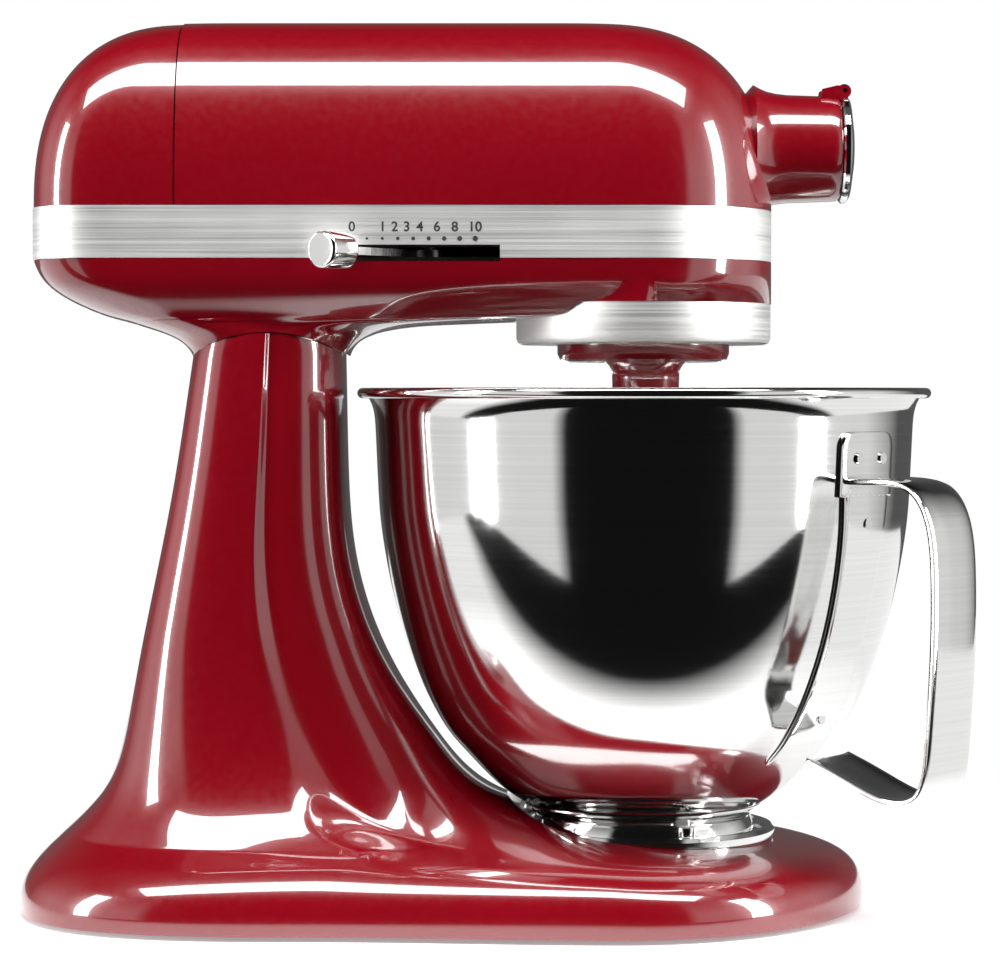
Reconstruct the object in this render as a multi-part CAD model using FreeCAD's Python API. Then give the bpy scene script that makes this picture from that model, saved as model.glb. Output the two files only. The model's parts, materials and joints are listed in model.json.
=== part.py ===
import FreeCAD, Part
import math
import os
from functools import lru_cache
from FreeCAD import Vector

# Stand mixer with a tilting head. Millimetres, +Z up, +X towards the nose, Y = 0 is the plane of symmetry.
# The origin is on the table, in the middle of the whole mixer's length.

# ---------------------------------------------------------------- driving dimensions
x_bowl = 55.5            # axis of the bowl and of the planetary
x_pivot = -75.9          # axis of the head's hinge
z_pivot = 150.6
head_half = 46.0         # half width of the head at the trim band
nose_reach = 45.3        # from the bowl axis to the front of the head
head_rear = -159.1       # rear end of the end cover
saddle_r = 51.0          # rounded top of the pedestal
z_belly = z_pivot + saddle_r + 5.4      # underside of the head
z_nose_low = z_belly + 5.4              # underside of the nose, over the drip ring
z_band_low = z_belly + 20.0
z_band_high = z_band_low + 18.3
z_crown = z_band_high + 67.0
z_motor = z_belly + 63.0                # motor axis
z_hub = z_belly + 60.5                  # attachment hub axis
base_rear = -164.4
base_nose = 133.6
base_half = 94.5
z_base = 1.5             # underside of the casting, over the feet
z_plateau = 23.5         # top of the base under the bowl
wall = 3.0               # head castings
base_wall = 4.0
gap = 0.4                # between bodies that move past each other
fit = 0.05               # radial clearance of a running fit

# ---------------------------------------------------------------- helpers
def vec(x, y, z):
    return Vector(x, y, z)

def box(x0, x1, y0, y1, z0, z1):
    return Part.makeBox(x1 - x0, y1 - y0, z1 - z0, vec(x0, y0, z0))

def rod(radius, start, end):
    span = end.sub(start)
    return Part.makeCylinder(radius, span.Length, start, span)

def upright(radius, x, y, z0, z1):
    return rod(radius, vec(x, y, z0), vec(x, y, z1))

def crosswise(radius, x, z, y0, y1):
    return rod(radius, vec(x, y0, z), vec(x, y1, z))

def lengthwise(radius, y, z, x0, x1):
    return rod(radius, vec(x0, y, z), vec(x1, y, z))

def fused(first, *others):
    for other in others:
        first = first.fuse(other)
    return first.removeSplitter()

def polygon_face(points):
    wire = Part.makePolygon(points + [points[0]])
    return Part.Face(wire)

def turned(points, x, y, z0):
    """A solid of revolution about the upright axis at x, y, from points (radius, height above z0)."""
    corners = [vec(x + r, y, z0 + z) for r, z in points]
    return polygon_face(corners).revolve(vec(x, y, 0), vec(0, 0, 1), 360)

def spin_profile(corners, centre, axis):
    return polygon_face(corners).revolve(centre, axis, 360)

def power(value, exponent):
    return math.copysign(abs(value) ** exponent, value)

def end_points(x_centre, reach, half, bulge, z, first, count):
    """Points of one rounded end, from the side at angle first, half a turn round."""
    points = []
    for k in range(count + 1):
        angle = math.radians(first + 180.0 * k / count)
        x = x_centre + reach * power(math.cos(angle), 2 / bulge)
        y = half * power(math.sin(angle), 2 / bulge)
        points.append(vec(x, y, z))
    return points

def ring(z, rear, rear_reach, rear_half, rear_bulge, front, front_reach, front_half, front_bulge):
    """A closed smooth outline at height z: a rounded rear end, a rounded front end and sides between them."""
    ahead = end_points(front - front_reach, front_reach, front_half, front_bulge, z, -90, 8)
    behind = end_points(rear + rear_reach, rear_reach, rear_half, rear_bulge, z, 90, 8)
    points = []
    for this_end, next_end in ((ahead, behind), (behind, ahead)):
        points += this_end
        for share in (0.33, 0.67):
            points.append(this_end[-1] + (next_end[0] - this_end[-1]) * share)
    curve = Part.BSplineCurve()
    curve.interpolate(Points=points, PeriodicFlag=True)
    return Part.Wire(curve.toShape())

def loft(rings):
    return Part.makeLoft(rings, True, False)

# ---------------------------------------------------------------- base and pedestal
# The table is drawn for these sizes, and its rows are moved and stretched where the sizes above differ.
drawn_rear, drawn_nose, drawn_half = -164.4, 133.6, 94.5
drawn_pivot_x, drawn_saddle_top = -75.9, 201.6
pedestal_low = 46.0      # the casting is made in two pieces that meet here
base_sections = (
    # height, rear end, front end, reach of the front's curve, half width behind, half width in front
    (1.5, -163.4, 132.6, 88, 87.0, 93.5), (6.5, -164.4, 133.6, 89, 88.0, 94.5),
    (11.5, -163.2, 133.0, 89, 87.2, 94.0), (15.5, -160.6, 131.0, 88, 85.4, 92.4),
    (19.0, -157.4, 126.5, 87, 82.6, 89.0), (21.5, -155.0, 118.0, 85, 79.8, 84.0),
    (23.4, -153.0, 103.0, 82, 77.2, 77.0), (25.2, -151.0, 82.0, 76, 74.6, 69.5), (28.0, -148.0, 56.0, 68, 71.0, 61.5),
    (31.5, -144.2, 30.0, 58, 67.2, 56.5), (37.0, -138.8, 9.0, 49, 62.4, 52.5),
    (46.0, -132.0, -6.5, 42, 56.8, 49.4), (58.0, -128.4, -16.0, 38, 52.4, 47.2),
    (75.0, -124.8, -28.2, 34, 48.5, 44.8), (98.0, -120.2, -40.2, 31, 45.0, 42.0),
    (125.0, -114.6, -47.6, 28, 42.2, 39.8), (152.0, -109.4, -49.5, 26, 40.2, 38.4),
    (180.0, -105.2, -50.0, 25, 38.7, 37.2), (208.0, -101.0, -50.5, 24, 38.0, 36.5),
)
base_rear_reach = 105.0
seat_r = 48.4            # flat seat of the bowl clamp plate
bowl_room = 1.5          # least room between the casting and the bowl
foot_places = ((base_rear + 24.4, base_half - 48.5), (base_rear + 24.4, 48.5 - base_half),
               (x_bowl - 40.5, base_half - 20.5), (x_bowl - 40.5, 20.5 - base_half), (base_nose - 21.6, 0.0))
foot_r = 9.0
foot_height = 6.0
foot_screw_r = 2.0
foot_screw_head_r = 3.8
foot_screw_length = 9.0
foot_boss_wall = 2.5
pin_r = 5.0
pin_half = 34.0
boss_r = 10.0
lug_half = 8.0
slot_half = 10.0
slot_front = 22.0        # from the pivot
slot_rear = 25.0

def placed_row(row):
    """A row of the table at the sizes asked for: the foot follows the base, the pedestal the hinge."""
    z, rear, front, reach, half_behind, half_front = row
    climb = min(1.0, max(0.0, (z - z_plateau) / (pedestal_low - z_plateau)))
    with_pivot = climb * (x_pivot - drawn_pivot_x)
    rear = rear + (1 - climb) * (base_rear - drawn_rear) + with_pivot
    front = front + (1 - climb) * (base_nose - drawn_nose) + with_pivot
    wider = (1 - climb) * (base_half - drawn_half)
    if z > pedestal_low:
        growth = (z_pivot + saddle_r - pedestal_low) / (drawn_saddle_top - pedestal_low)
        z = pedestal_low + (z - pedestal_low) * growth
    return z, rear, front, reach, half_behind + wider, half_front + wider

def base_block(inset, lower):
    """The base and pedestal in one smooth skin, drawn in by inset and lowered by lower."""
    rings = []
    bottom = base_sections[0][0]
    for row in base_sections:
        z, rear, front, reach, half_behind, half_front = placed_row(row)
        if rings and z - lower < bottom + 1:
            continue
        height = z - lower if rings else bottom - inset / base_wall
        length = front - rear
        behind_reach = min(base_rear_reach, 0.5 * length)
        rings.append(ring(height, rear + inset, behind_reach - inset, half_behind - inset, 2.9,
                          front - inset, min(reach, 0.5 * length) - inset, half_front - inset, 1.95))
    return loft(rings)

def below_saddle(radius):
    drum = crosswise(radius, x_pivot, z_pivot, -base_half, base_half)
    stand = box(base_rear - radius, base_nose + radius, -base_half - 1, base_half + 1, 0, z_pivot)
    return drum.fuse(stand)

def casting_block(inset):
    block = base_block(inset, inset)
    return block.common(below_saddle(saddle_r - inset))

@lru_cache
def whole_casting():
    outside = casting_block(0)
    outside = outside.cut(upright(seat_r, x_bowl, 0, z_plateau, z_plateau + 12))
    hollow = casting_block(base_wall)
    hollow = hollow.cut(upright(seat_r + base_wall, x_bowl, 0, z_plateau - base_wall, z_pivot / 2))
    body = outside.cut(hollow)
    body = body.cut(bowl_core(bowl_room))
    extras = [crosswise(boss_r, x_pivot, z_pivot, lug_half + 3, base_half),
              crosswise(boss_r, x_pivot, z_pivot, -base_half, -lug_half - 3)]
    for x, y in foot_places:
        extras.append(upright(foot_r + foot_boss_wall, x, y, z_base, z_pivot / 2))
    for extra in extras:
        body = body.fuse(extra.common(outside))
    body = body.cut(crosswise(pin_r, x_pivot, z_pivot, -pin_half, pin_half))
    slot = box(x_pivot - slot_rear, x_pivot + slot_front, -slot_half, slot_half,
               z_pivot + 20, z_pivot + saddle_r)
    body = body.cut(slot)
    body = body.cut(lock_groove())
    for x, y in foot_places:
        body = body.cut(upright(foot_r, x, y, z_base - 1, foot_height))
        body = body.cut(upright(foot_screw_r, x, y, z_base, foot_screw_length))
    for x, y in plate_screw_places():
        body = body.cut(upright(plate_screw_r, x, y, z_plateau - base_wall - 1, z_plateau + 1))
    return body

def casting_slice(z0, z1):
    return whole_casting().common(box(base_rear - 1, base_nose + 1, -base_half - 1, base_half + 1, z0, z1))

def base_casting():
    return casting_slice(0, pedestal_low)

def pedestal_casting():
    return casting_slice(pedestal_low, z_pivot + saddle_r + 1)

def rubber_foot(x, y):
    pad = upright(foot_r, x, y, 0, foot_height)
    pad = pad.makeFillet(1.0, [pad.Edges[2]])
    pad = pad.cut(upright(foot_screw_head_r, x, y, 0, foot_height / 2))
    return pad.cut(upright(foot_screw_r, x, y, 0, foot_height))

def foot_screws():
    screws = []
    for x, y in foot_places:
        head = upright(foot_screw_head_r, x, y, foot_height / 2 - 2, foot_height / 2)
        screws.append(head.fuse(upright(foot_screw_r, x, y, foot_height / 2, foot_screw_length)))
    return Part.makeCompound(screws)

def hinge_pin():
    pin = crosswise(pin_r, x_pivot, z_pivot, -pin_half, pin_half)
    return pin.makeChamfer(0.8, [pin.Edges[0], pin.Edges[2]])

# ---------------------------------------------------------------- bowl clamp plate
plate_r = 47.0
plate_thick = 1.2
plate_rim = 4.5
plate_screw_circle = 26.0
plate_screw_r = 2.0

def plate_screw_places():
    places = []
    for k in range(4):
        angle = math.radians(45 + 90 * k)
        places.append((x_bowl + plate_screw_circle * math.cos(angle), plate_screw_circle * math.sin(angle)))
    return places

def bowl_clamp_plate():
    section = [(8, 0), (plate_r - 0.6, 0), (plate_r, 0.8), (plate_r, plate_rim - 1.4),
               (plate_r - 1.2, plate_rim), (plate_r - 3.2, plate_rim), (plate_r - 4.0, plate_rim - 1.0), (plate_r - 4.4, plate_thick),
               (8, plate_thick)]
    plate = turned(section, x_bowl, 0, z_plateau)
    for x, y in plate_screw_places():
        plate = plate.cut(upright(plate_screw_r, x, y, z_plateau - 1, z_plateau + plate_rim))
    return plate

def clamp_plate_screws():
    screws = []
    for x, y in plate_screw_places():
        shank = upright(plate_screw_r, x, y, z_plateau - base_wall, z_plateau + plate_thick)
        screws.append(shank.fuse(upright(3.4, x, y, z_plateau + plate_thick, z_plateau + plate_thick + 1.6)))
    return Part.makeCompound(screws)

# ---------------------------------------------------------------- bowl
bowl_thick = 1.3
rim_r = 101.6
rim_z = 181.0
rim_tube = 1.85
foot_ring_low = z_plateau + plate_thick + 0.3
bowl_floor = 34.0
handle_turn = -40.0      # about the bowl axis, from +X
bowl_outline = ((40.0, 34.6), (50.0, 41.0), (59.5, 50.0), (68.1, 59.5), (71.9, 65.0),
                (77.3, 75.0), (81.8, 86.0), (85.4, 97.0), (88.2, 107.5), (90.5, 118.0), (92.4, 129.0), (93.7, 140.0), (94.5, 155.0),
                (95.1, 168.0), (96.0, 176.0), (98.2, 180.4))

def bowl_wall_curve(inset):
    points = [vec(x_bowl + r - inset, 0, z + inset * 0.25) for r, z in bowl_outline]
    curve = Part.BSplineCurve()
    curve.interpolate(Points=points)
    return curve.toShape(), points

def bowl_shell():
    outer, outer_points = bowl_wall_curve(0)
    inner, inner_points = bowl_wall_curve(bowl_thick)
    axis_low = vec(x_bowl, 0, bowl_floor - bowl_thick)
    axis_high = vec(x_bowl, 0, bowl_floor)
    edge_low = vec(x_bowl + 34, 0, bowl_floor - bowl_thick)
    edge_high = vec(x_bowl + 34, 0, bowl_floor)
    edges = [Part.makeLine(axis_high, axis_low), Part.makeLine(axis_low, edge_low),
             Part.makeLine(edge_low, outer_points[0]), outer,
             Part.makeLine(outer_points[-1], inner_points[-1]), inner, Part.makeLine(inner_points[0], edge_high), Part.makeLine(edge_high, axis_high)]
    wire = Part.Wire(Part.__sortEdges__(edges))
    shell = Part.Face(wire).revolve(vec(x_bowl, 0, 0), vec(0, 0, 1), 360)
    tube = Part.makeTorus(rim_r - rim_tube, rim_tube, vec(x_bowl, 0, rim_z))
    return shell.fuse(tube).removeSplitter()

def bowl_foot_ring():
    section = [(38.3, 0), (39.9, 0), (39.2, 4.0), (38.0, 6.2), (38.6, 8.2), (42.3, 10.2), (42.3, 11.4),
               (36.0, 11.4), (36.0, 9.0), (36.6, 4.0)]
    body = turned(section, x_bowl, 0, foot_ring_low)
    for k in range(4):
        angle = math.radians(20 + 90 * k)
        lug = upright(3.0, x_bowl + 39.0 * math.cos(angle), 39.0 * math.sin(angle),
                      foot_ring_low + 3, foot_ring_low + 6)
        body = body.fuse(lug)
    return body.cut(bowl_core(0)).removeSplitter()

def bowl_core(skin):
    """The bowl filled solid and grown by skin, to shape what is welded to its outside."""
    outer, outer_points = bowl_wall_curve(-skin)
    axis_low = vec(x_bowl, 0, bowl_floor - bowl_thick)
    edge_low = vec(x_bowl + 34, 0, bowl_floor - bowl_thick)
    axis_high = vec(x_bowl, 0, outer_points[-1].z)
    edges = [Part.makeLine(axis_high, axis_low), Part.makeLine(axis_low, edge_low),
             Part.makeLine(edge_low, outer_points[0]), outer, Part.makeLine(outer_points[-1], axis_high)]
    wire = Part.Wire(Part.__sortEdges__(edges))
    return Part.Face(wire).revolve(vec(x_bowl, 0, 0), vec(0, 0, 1), 360)

strap_half = 13.0
strap_thick = 1.8
tab_half = 15.0
grip_reach = 130.0

def handle_path(offset):
    """The strap's closed loop in the plane Y = 0, offset outwards: wall side, lower arm, grip, upper arm."""
    t = offset
    wall_side = [(68.0 - t, 58.0 - t), (72.6 - t, 65.0), (82.4 - t, 86.0), (88.8 - t, 107.5),
                 (93.0 - t, 129.0), (94.8 - t, 146.0), (95.0 - t, 151.0 + t)]
    upper_arm = [(112.0, 151.0 + t), (119.5 + 0.5 * t, 149.6 + t), (124.0 + 0.8 * t, 145.0 + 0.7 * t)]
    grip = [(127.4 + t, 136.0), (129.0 + t, 118.0), (128.6 + t, 92.0), (127.0 + t, 68.0), (125.0 + t, 53.0)]
    lower_arm = [(121.6 + 0.7 * t, 47.0 - 0.7 * t), (115.0, 45.2 - t), (106.0, 46.6 - t), (92.0, 52.2 - t),
                 (80.0, 57.0 - t)]
    return [vec(x_bowl + r, 0, z) for r, z in wall_side + upper_arm + grip + lower_arm]

def strap_outline(offset):
    return polygon_face(handle_path(offset))

def bowl_handle():
    loop = strap_outline(strap_thick).cut(strap_outline(0))
    strap = loop.extrude(vec(0, 2 * strap_half, 0))
    strap.translate(vec(0, -strap_half, 0))
    upper_tab = box(x_bowl + 80, x_bowl + 97.2, -tab_half, tab_half, 146.0, 168.0)
    upper_tab = upper_tab.makeFillet(4.0, [e for e in upper_tab.Edges if abs(e.Length - 17.2) < 0.01
                                           and e.CenterOfMass.z > 160])
    lower_tab = box(x_bowl + 60, x_bowl + 72.0, -strap_half, strap_half, 55.0, 62.0)
    tabs = upper_tab.fuse(lower_tab).common(bowl_core(strap_thick))
    handle = strap.fuse(tabs).cut(bowl_core(0))
    handle.rotate(vec(x_bowl, 0, 0), vec(0, 0, 1), handle_turn)
    return handle.removeSplitter()

# ---------------------------------------------------------------- head castings
cover_seam = -106.4      # between the motor housing and the end cover
seam_gap = 0.5
cover_step = 0.4         # the end cover is this much smaller all round
top_levels = 9
band_thick = 1.4
collar_inset = 1.6       # inner wall behind the band
corner_reach = 30.0
corner_bulge = 3.2
hub_r = 18.9
hub_tip_r = 18.4
hub_front = x_bowl + 69.1
hub_bore_r = 12.8
hub_bore_rear = x_bowl + 28.5
lug_angles = (66.0, 73.0)

def head_ring(z, side, rear, nose, half_cut):
    """Outline of the head at height z, drawn in by side, rear and nose, and by half_cut more in width."""
    half = head_half - side - half_cut
    return ring(z, head_rear + rear, corner_reach, half, corner_bulge,
                x_bowl + nose_reach - nose, max(nose_reach - side, 8), half, 2.0)

def head_top(inset):
    rings = []
    height = z_crown - z_band_high - inset
    for k in range(top_levels + 1):
        angle = math.radians(81.0 * k / top_levels)
        fall = 1 - math.cos(angle) ** (2 / 2.4)
        z = z_band_high + height * math.sin(angle) ** (2 / 2.4)
        rings.append(ring(z, head_rear + inset + 54 * fall, corner_reach, (head_half - inset) * (1 - fall),
                          corner_bulge - 0.9 * fall, x_bowl + nose_reach - inset - 62 * fall,
                          (nose_reach - inset) * (1 - 0.55 * fall), (head_half - inset) * (1 - fall),
                          2.0 + 0.3 * fall))
    return loft(rings)

def head_slab(inset, z0, z1):
    return loft([head_ring(z, inset, inset, inset, 0) for z in (z0, z1)])

def hub_boss():
    start = vec(x_bowl + 20, 0, z_hub)
    return Part.makeCone(hub_r + 0.6, hub_tip_r, hub_front - start.x, start, vec(1, 0, 0))

def head_room():
    return fused(head_top(wall), head_slab(wall, z_band_high - 1, z_band_high))

def motor_housing():
    """Top of the head, open where the hub barrel passes through its nose."""
    shell = head_top(0).cut(head_room()).cut(hub_boss())
    forward = box(cover_seam, hub_front, -base_half, base_half, z_band_high, z_crown + 5)
    return shell.common(forward)

def hub_barrel():
    """Socket for the attachments, with the ears of its cover."""
    barrel = hub_boss().cut(head_room())
    lining = lengthwise(hub_r - 1, 0, z_hub, hub_bore_rear - wall, hub_front - 2)
    for piece in [lining] + cover_ears():
        barrel = barrel.fuse(piece)
    barrel = barrel.cut(lengthwise(hub_bore_r, 0, z_hub, hub_bore_rear, hub_front + 1))
    barrel = barrel.cut(lengthwise(bushing_r, 0, z_hub, x_bowl, hub_bore_rear + 1))
    return barrel.cut(crosswise(clamp_screw_r + fit, clamp_screw_x, z_hub, 0, hub_r * 2))

def end_cover():
    shell = head_top(cover_step).cut(head_top(wall))
    behind = box(head_rear - 5, cover_seam - seam_gap, -base_half, base_half, z_band_high, z_crown + 5)
    shell = shell.common(behind)
    shell = shell.cut(head_slab(wall, z_band_high - 1, z_band_high + 0.5))
    recess = lengthwise(5.5, 0, z_cover_screw, head_rear - 5, head_rear + 2.5)
    pad = lengthwise(7.5, 0, z_cover_screw, head_rear + 1, head_rear + 6).common(head_top(cover_step))
    shell = shell.fuse(pad).cut(recess)
    return shell.cut(lengthwise(2.0, 0, z_cover_screw, head_rear - 1, head_rear + 8)).removeSplitter()

z_cover_screw = z_motor - 6.5

def end_cover_screw():
    head = lengthwise(4.0, 0, z_cover_screw, head_rear + 1.0, head_rear + 2.5)
    shank = lengthwise(2.0, 0, z_cover_screw, head_rear + 2.5, head_rear + 6.0)
    slot = box(head_rear + 0.5, head_rear + 1.6, -4, 4, z_cover_screw - 0.5, z_cover_screw + 0.5)
    return head.fuse(shank).cut(slot)

lever_x = -20.4          # pivot of the speed lever
slot_x0 = lever_x - 25.8 # slot of the speed lever, along the band's lower edge
slot_x1 = lever_x + 25.0
slot_top = z_band_low + 4.6

def speed_slot():
    return box(slot_x0, slot_x1, -head_half - 5, -head_half + 8, z_band_low - 1, slot_top)

def trim_band():
    outside = head_slab(0, z_band_low + 0.2, z_band_high - 0.2)
    band = outside.cut(head_slab(band_thick, z_band_low, z_band_high))
    return band.cut(speed_slot())

def slot_guide():
    """Black plastic plate behind the slot, with a slit for the lever."""
    ring_part = head_slab(collar_inset + wall + 0.1, z_band_low - 3, slot_top + 3)
    ring_part = ring_part.cut(head_slab(collar_inset + wall + 2.1, z_band_low - 4, slot_top + 4))
    plate = ring_part.common(box(slot_x0 - 7, slot_x1 + 7, -head_half, 0, z_band_low - 5, slot_top + 5))
    return plate.cut(box(slot_x0, slot_x1, -head_half, 0, lever_z - lever_thick / 2 - gap,
                         lever_z + lever_thick / 2 + gap))

# This table is drawn for these sizes too.
drawn_belly, drawn_head_rear, drawn_nose_tip, drawn_head_half = 207.0, -159.1, 100.8, 46.0
head_sections = (
    # height, rear end, front end, reach of the rear's and the front's curve, half width, half in front
    (190.0, -103.0, -48.8, 26, 24, 37.6, 37.6), (195.0, -104.2, -48.4, 26, 24, 37.8, 37.6),
    (199.5, -108.6, -45.0, 28, 26, 38.2, 37.4), (203.0, -117.0, -36.0, 30, 32, 38.6, 36.6),
    (205.6, -125.4, -8.0, 31, 40, 38.8, 35.6), (207.2, -131.4, 36.0, 31, 42, 39.0, 35.4),
    (208.8, -136.4, 70.0, 31, 42, 39.6, 36.6), (211.4, -142.6, 88.0, 31, 43, 41.2, 39.4),
    (215.4, -150.0, 96.4, 30, 44, 43.6, 42.8), (220.0, -155.4, 99.2, 30, 44.6, 45.2, 44.8),
    (227.0, -159.1, 100.2, 30, 44.8, 46.0, 46.0),
)

neck_top = 195.0         # rows above this height open out into the pan

def head_low(inset):
    """Pan of the head and its neck over the pedestal in one smooth skin."""
    rings = []
    rise = z_belly - drawn_belly
    wider = head_half - drawn_head_half
    for z, rear, front, rear_reach, front_reach, half, half_front in head_sections:
        share = min(1.0, max(0.0, (z - neck_top) / (drawn_belly + 20 - neck_top)))
        height = z + rise
        if neck_top < z < drawn_belly + 20:
            height = height + inset
        with_pivot = (1 - share) * (x_pivot - drawn_pivot_x)
        rear = rear + share * (head_rear - drawn_head_rear) + with_pivot
        front = front + share * (x_bowl + nose_reach - drawn_nose_tip) + with_pivot
        half = half + wider
        half_front = half_front + wider
        length = front - rear - 2 * inset
        rings.append(ring(height, rear + inset, min(rear_reach, 0.48 * length), half - inset, 2.8,
                          front - inset, min(front_reach, 0.48 * length), half_front - inset, 2.1))
    return loft(rings)

def nose_drum(inset, z0):
    return upright(nose_reach - inset, x_bowl, 0, z0, z_band_low)

def hinge_lug():
    eye = crosswise(boss_r, x_pivot, z_pivot, -lug_half, lug_half)
    reach = saddle_r + 4
    corners = []
    for radius, angle in ((boss_r, lug_angles[0] - 90), (reach, lug_angles[0]), (reach, lug_angles[1]),
                          (boss_r, lug_angles[1] + 90)):
        x = x_pivot + radius * math.cos(math.radians(angle))
        z = z_pivot + radius * math.sin(math.radians(angle))
        corners.append(vec(x, -lug_half, z))
    arm = polygon_face(corners).extrude(vec(0, 2 * lug_half, 0))
    return eye.fuse(arm).cut(crosswise(pin_r + fit, x_pivot, z_pivot, -lug_half - 1, lug_half + 1))

vent_count = 5

def gear_case():
    """Lower half of the head: pan, saddle over the pedestal, nose and the collar behind the trim band."""
    collar = head_slab(collar_inset, z_band_low - 1, z_band_high)
    outside = head_low(0).fuse(nose_drum(0, z_nose_low))
    outside = outside.cut(upright(nose_reach + 1.2, x_bowl, 0, z_belly - 10, z_nose_low))
    room = head_low(wall).fuse(nose_drum(wall, z_nose_low + wall))
    saddle = crosswise(saddle_r + gap + wall, x_pivot, z_pivot, -base_half, base_half)
    floor = upright(nose_reach + 1.2, x_bowl, 0, z_belly - 10, z_nose_low + wall)
    room = room.cut(saddle).cut(floor)
    body = outside.cut(room)
    upper_room = head_slab(collar_inset + wall, z_band_low - 1.5, z_band_high + 1)
    body = body.fuse(collar).cut(upper_room)
    body = body.cut(crosswise(saddle_r + gap, x_pivot, z_pivot, -base_half, base_half))
    body = body.fuse(hinge_lug())
    tower = upright(shaft_bearing_r + 3, x_bowl, 0, z_nose_low, z_shaft_bearing + shaft_bearing_height)
    body = body.fuse(tower)
    body = body.cut(upright(shaft_bearing_r, x_bowl, 0, z_shaft_bearing, z_shaft_bearing + 20))
    body = body.cut(upright(drive_shaft_r + 0.5, x_bowl, 0, z_nose_low - 1, z_shaft_bearing + 1))
    body = body.cut(speed_slot())
    body = body.cut(lock_openings())
    for k in range(vent_count):
        x = head_rear + 17 + 4.4 * k
        body = body.cut(box(x, x + 2.0, -15, 15, z_belly - 5, z_belly + 16))
    return body.cut(crosswise(gland_r, gland_x, gland_z, head_half / 2, head_half + 1))

gland_x = head_rear + 39.1
gland_z = z_belly + 10.0
gland_r = 5.0

def cord_gland():
    body = crosswise(gland_r, gland_x, gland_z, head_half - 9, head_half + 2)
    body = body.fuse(crosswise(gland_r + 2, gland_x, gland_z, head_half + 0.3, head_half + 2))
    return body.cut(crosswise(3.4, gland_x, gland_z, head_half - 10, head_half + 3))

# ---------------------------------------------------------------- lock lever, on the far side of the neck
lock_shaft_r = 3.0
lock_angle = 84.0
lock_r = saddle_r + 6.5
lock_x = x_pivot + lock_r * math.cos(math.radians(lock_angle))
lock_z = z_pivot + lock_r * math.sin(math.radians(lock_angle))
lobe_reach = 9.0
lobe_y0 = 13.0
lobe_y1 = 17.0
lobe_spread = 18.0
lock_turn = 75.0
lock_outer = 50.5

def lock_wedge(first_deg, last_deg):
    """Slice of the lock's track round the pivot, between two angles."""
    corners = [vec(x_pivot, lobe_y0 - gap, z_pivot)]
    for degrees in (first_deg, last_deg):
        angle = math.radians(degrees)
        corners.append(vec(x_pivot + 80 * math.cos(angle), lobe_y0 - gap, z_pivot + 80 * math.sin(angle)))
    return polygon_face(corners).extrude(vec(0, lobe_y1 - lobe_y0 + 2 * gap, 0))

def lock_groove():
    """Pocket in the rounded top of the pedestal, for the lobe of the lock and its keeper."""
    floor = crosswise(lock_r - lobe_reach - gap, x_pivot, z_pivot, 0, head_half)
    return lock_wedge(lock_angle - 9, lock_angle + 16).cut(floor)

def lock_openings():
    bore = crosswise(lock_shaft_r + fit, lock_x, lock_z, lobe_y0 - 4, head_half + 10)
    room = crosswise(lobe_reach + gap, lock_x, lock_z, lobe_y0 - gap, lobe_y1 + gap)
    return bore.fuse(room.common(lock_wedge(lock_angle - 5, lock_angle + 16)))

def lock_shaft():
    shaft = crosswise(lock_shaft_r, lock_x, lock_z, lobe_y0 - 3, lock_outer)
    rest = lock_angle + 180 - lock_turn
    corners = [vec(lock_x, lobe_y0, lock_z)]
    for side in (-1, 0, 1):
        angle = math.radians(rest + side * lobe_spread)
        reach = lobe_reach if side else lobe_reach * 0.98
        corners.append(vec(lock_x + reach * math.cos(angle), lobe_y0, lock_z + reach * math.sin(angle)))
    lobe = polygon_face(corners).extrude(vec(0, lobe_y1 - lobe_y0, 0))
    arm = box(lock_x - 4, lock_x + 4, lock_outer - 3, lock_outer, lock_z - 4, lock_z + 16)
    arm.rotate(vec(lock_x, 0, lock_z), vec(0, 1, 0), -50)
    return fused(shaft, lobe, arm)

def lock_knob():
    angle = math.radians(90 + 50)
    x = lock_x + 16 * math.cos(angle)
    z = lock_z + 16 * math.sin(angle)
    knob = crosswise(5.0, x, z, lock_outer, lock_outer + 11)
    return knob.makeFillet(1.2, [knob.Edges[0], knob.Edges[2]])

def lock_keeper():
    """Steel stop in the groove behind the lobe."""
    inner = lock_r - lobe_reach - gap
    sector = crosswise(saddle_r - 0.3, x_pivot, z_pivot, lobe_y0 - gap, lobe_y1 + gap)
    sector = sector.cut(crosswise(inner, x_pivot, z_pivot, lobe_y0 - 1, lobe_y1 + 1))
    return sector.common(lock_wedge(lock_angle + 7, lock_angle + 16))

# ---------------------------------------------------------------- speed lever
lever_y = -20.0
lever_z = z_band_low + 2.3
lever_thick = 2.6
lever_half = 2.0
lever_rest = 40.5        # back from straight out, at the off position
lever_reach = 42.0
speed_knob_r = 6.5
speed_knob_length = 12.5

def lever_direction():
    angle = math.radians(-90 - lever_rest)
    return vec(math.cos(angle), math.sin(angle), 0)

def speed_lever_arm():
    arm = box(-1, lever_reach, -lever_half, lever_half, -lever_thick / 2, lever_thick / 2)
    eye = upright(7, 0, 0, -lever_thick / 2, lever_thick / 2)
    stub = lengthwise(1.2, 0, 0, lever_reach - 1, lever_reach + 10)
    arm = fused(arm, eye, stub).cut(upright(3 + fit, 0, 0, -5, 5))
    arm.rotate(vec(0, 0, 0), vec(0, 0, 1), -90 - lever_rest)
    arm.translate(vec(lever_x, lever_y, lever_z))
    return arm

def speed_knob():
    along = lever_direction()
    start = vec(lever_x, lever_y, lever_z) + along * lever_reach
    knob = Part.makeCylinder(speed_knob_r, speed_knob_length, start, along)
    knob = knob.makeFillet(1.3, [knob.Edges[0], knob.Edges[2]])
    return knob.cut(Part.makeCylinder(1.2, 10, start, along))

def speed_lever_post():
    return upright(3, lever_x, lever_y, z_belly + wall - 0.4, lever_z + 4)

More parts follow.
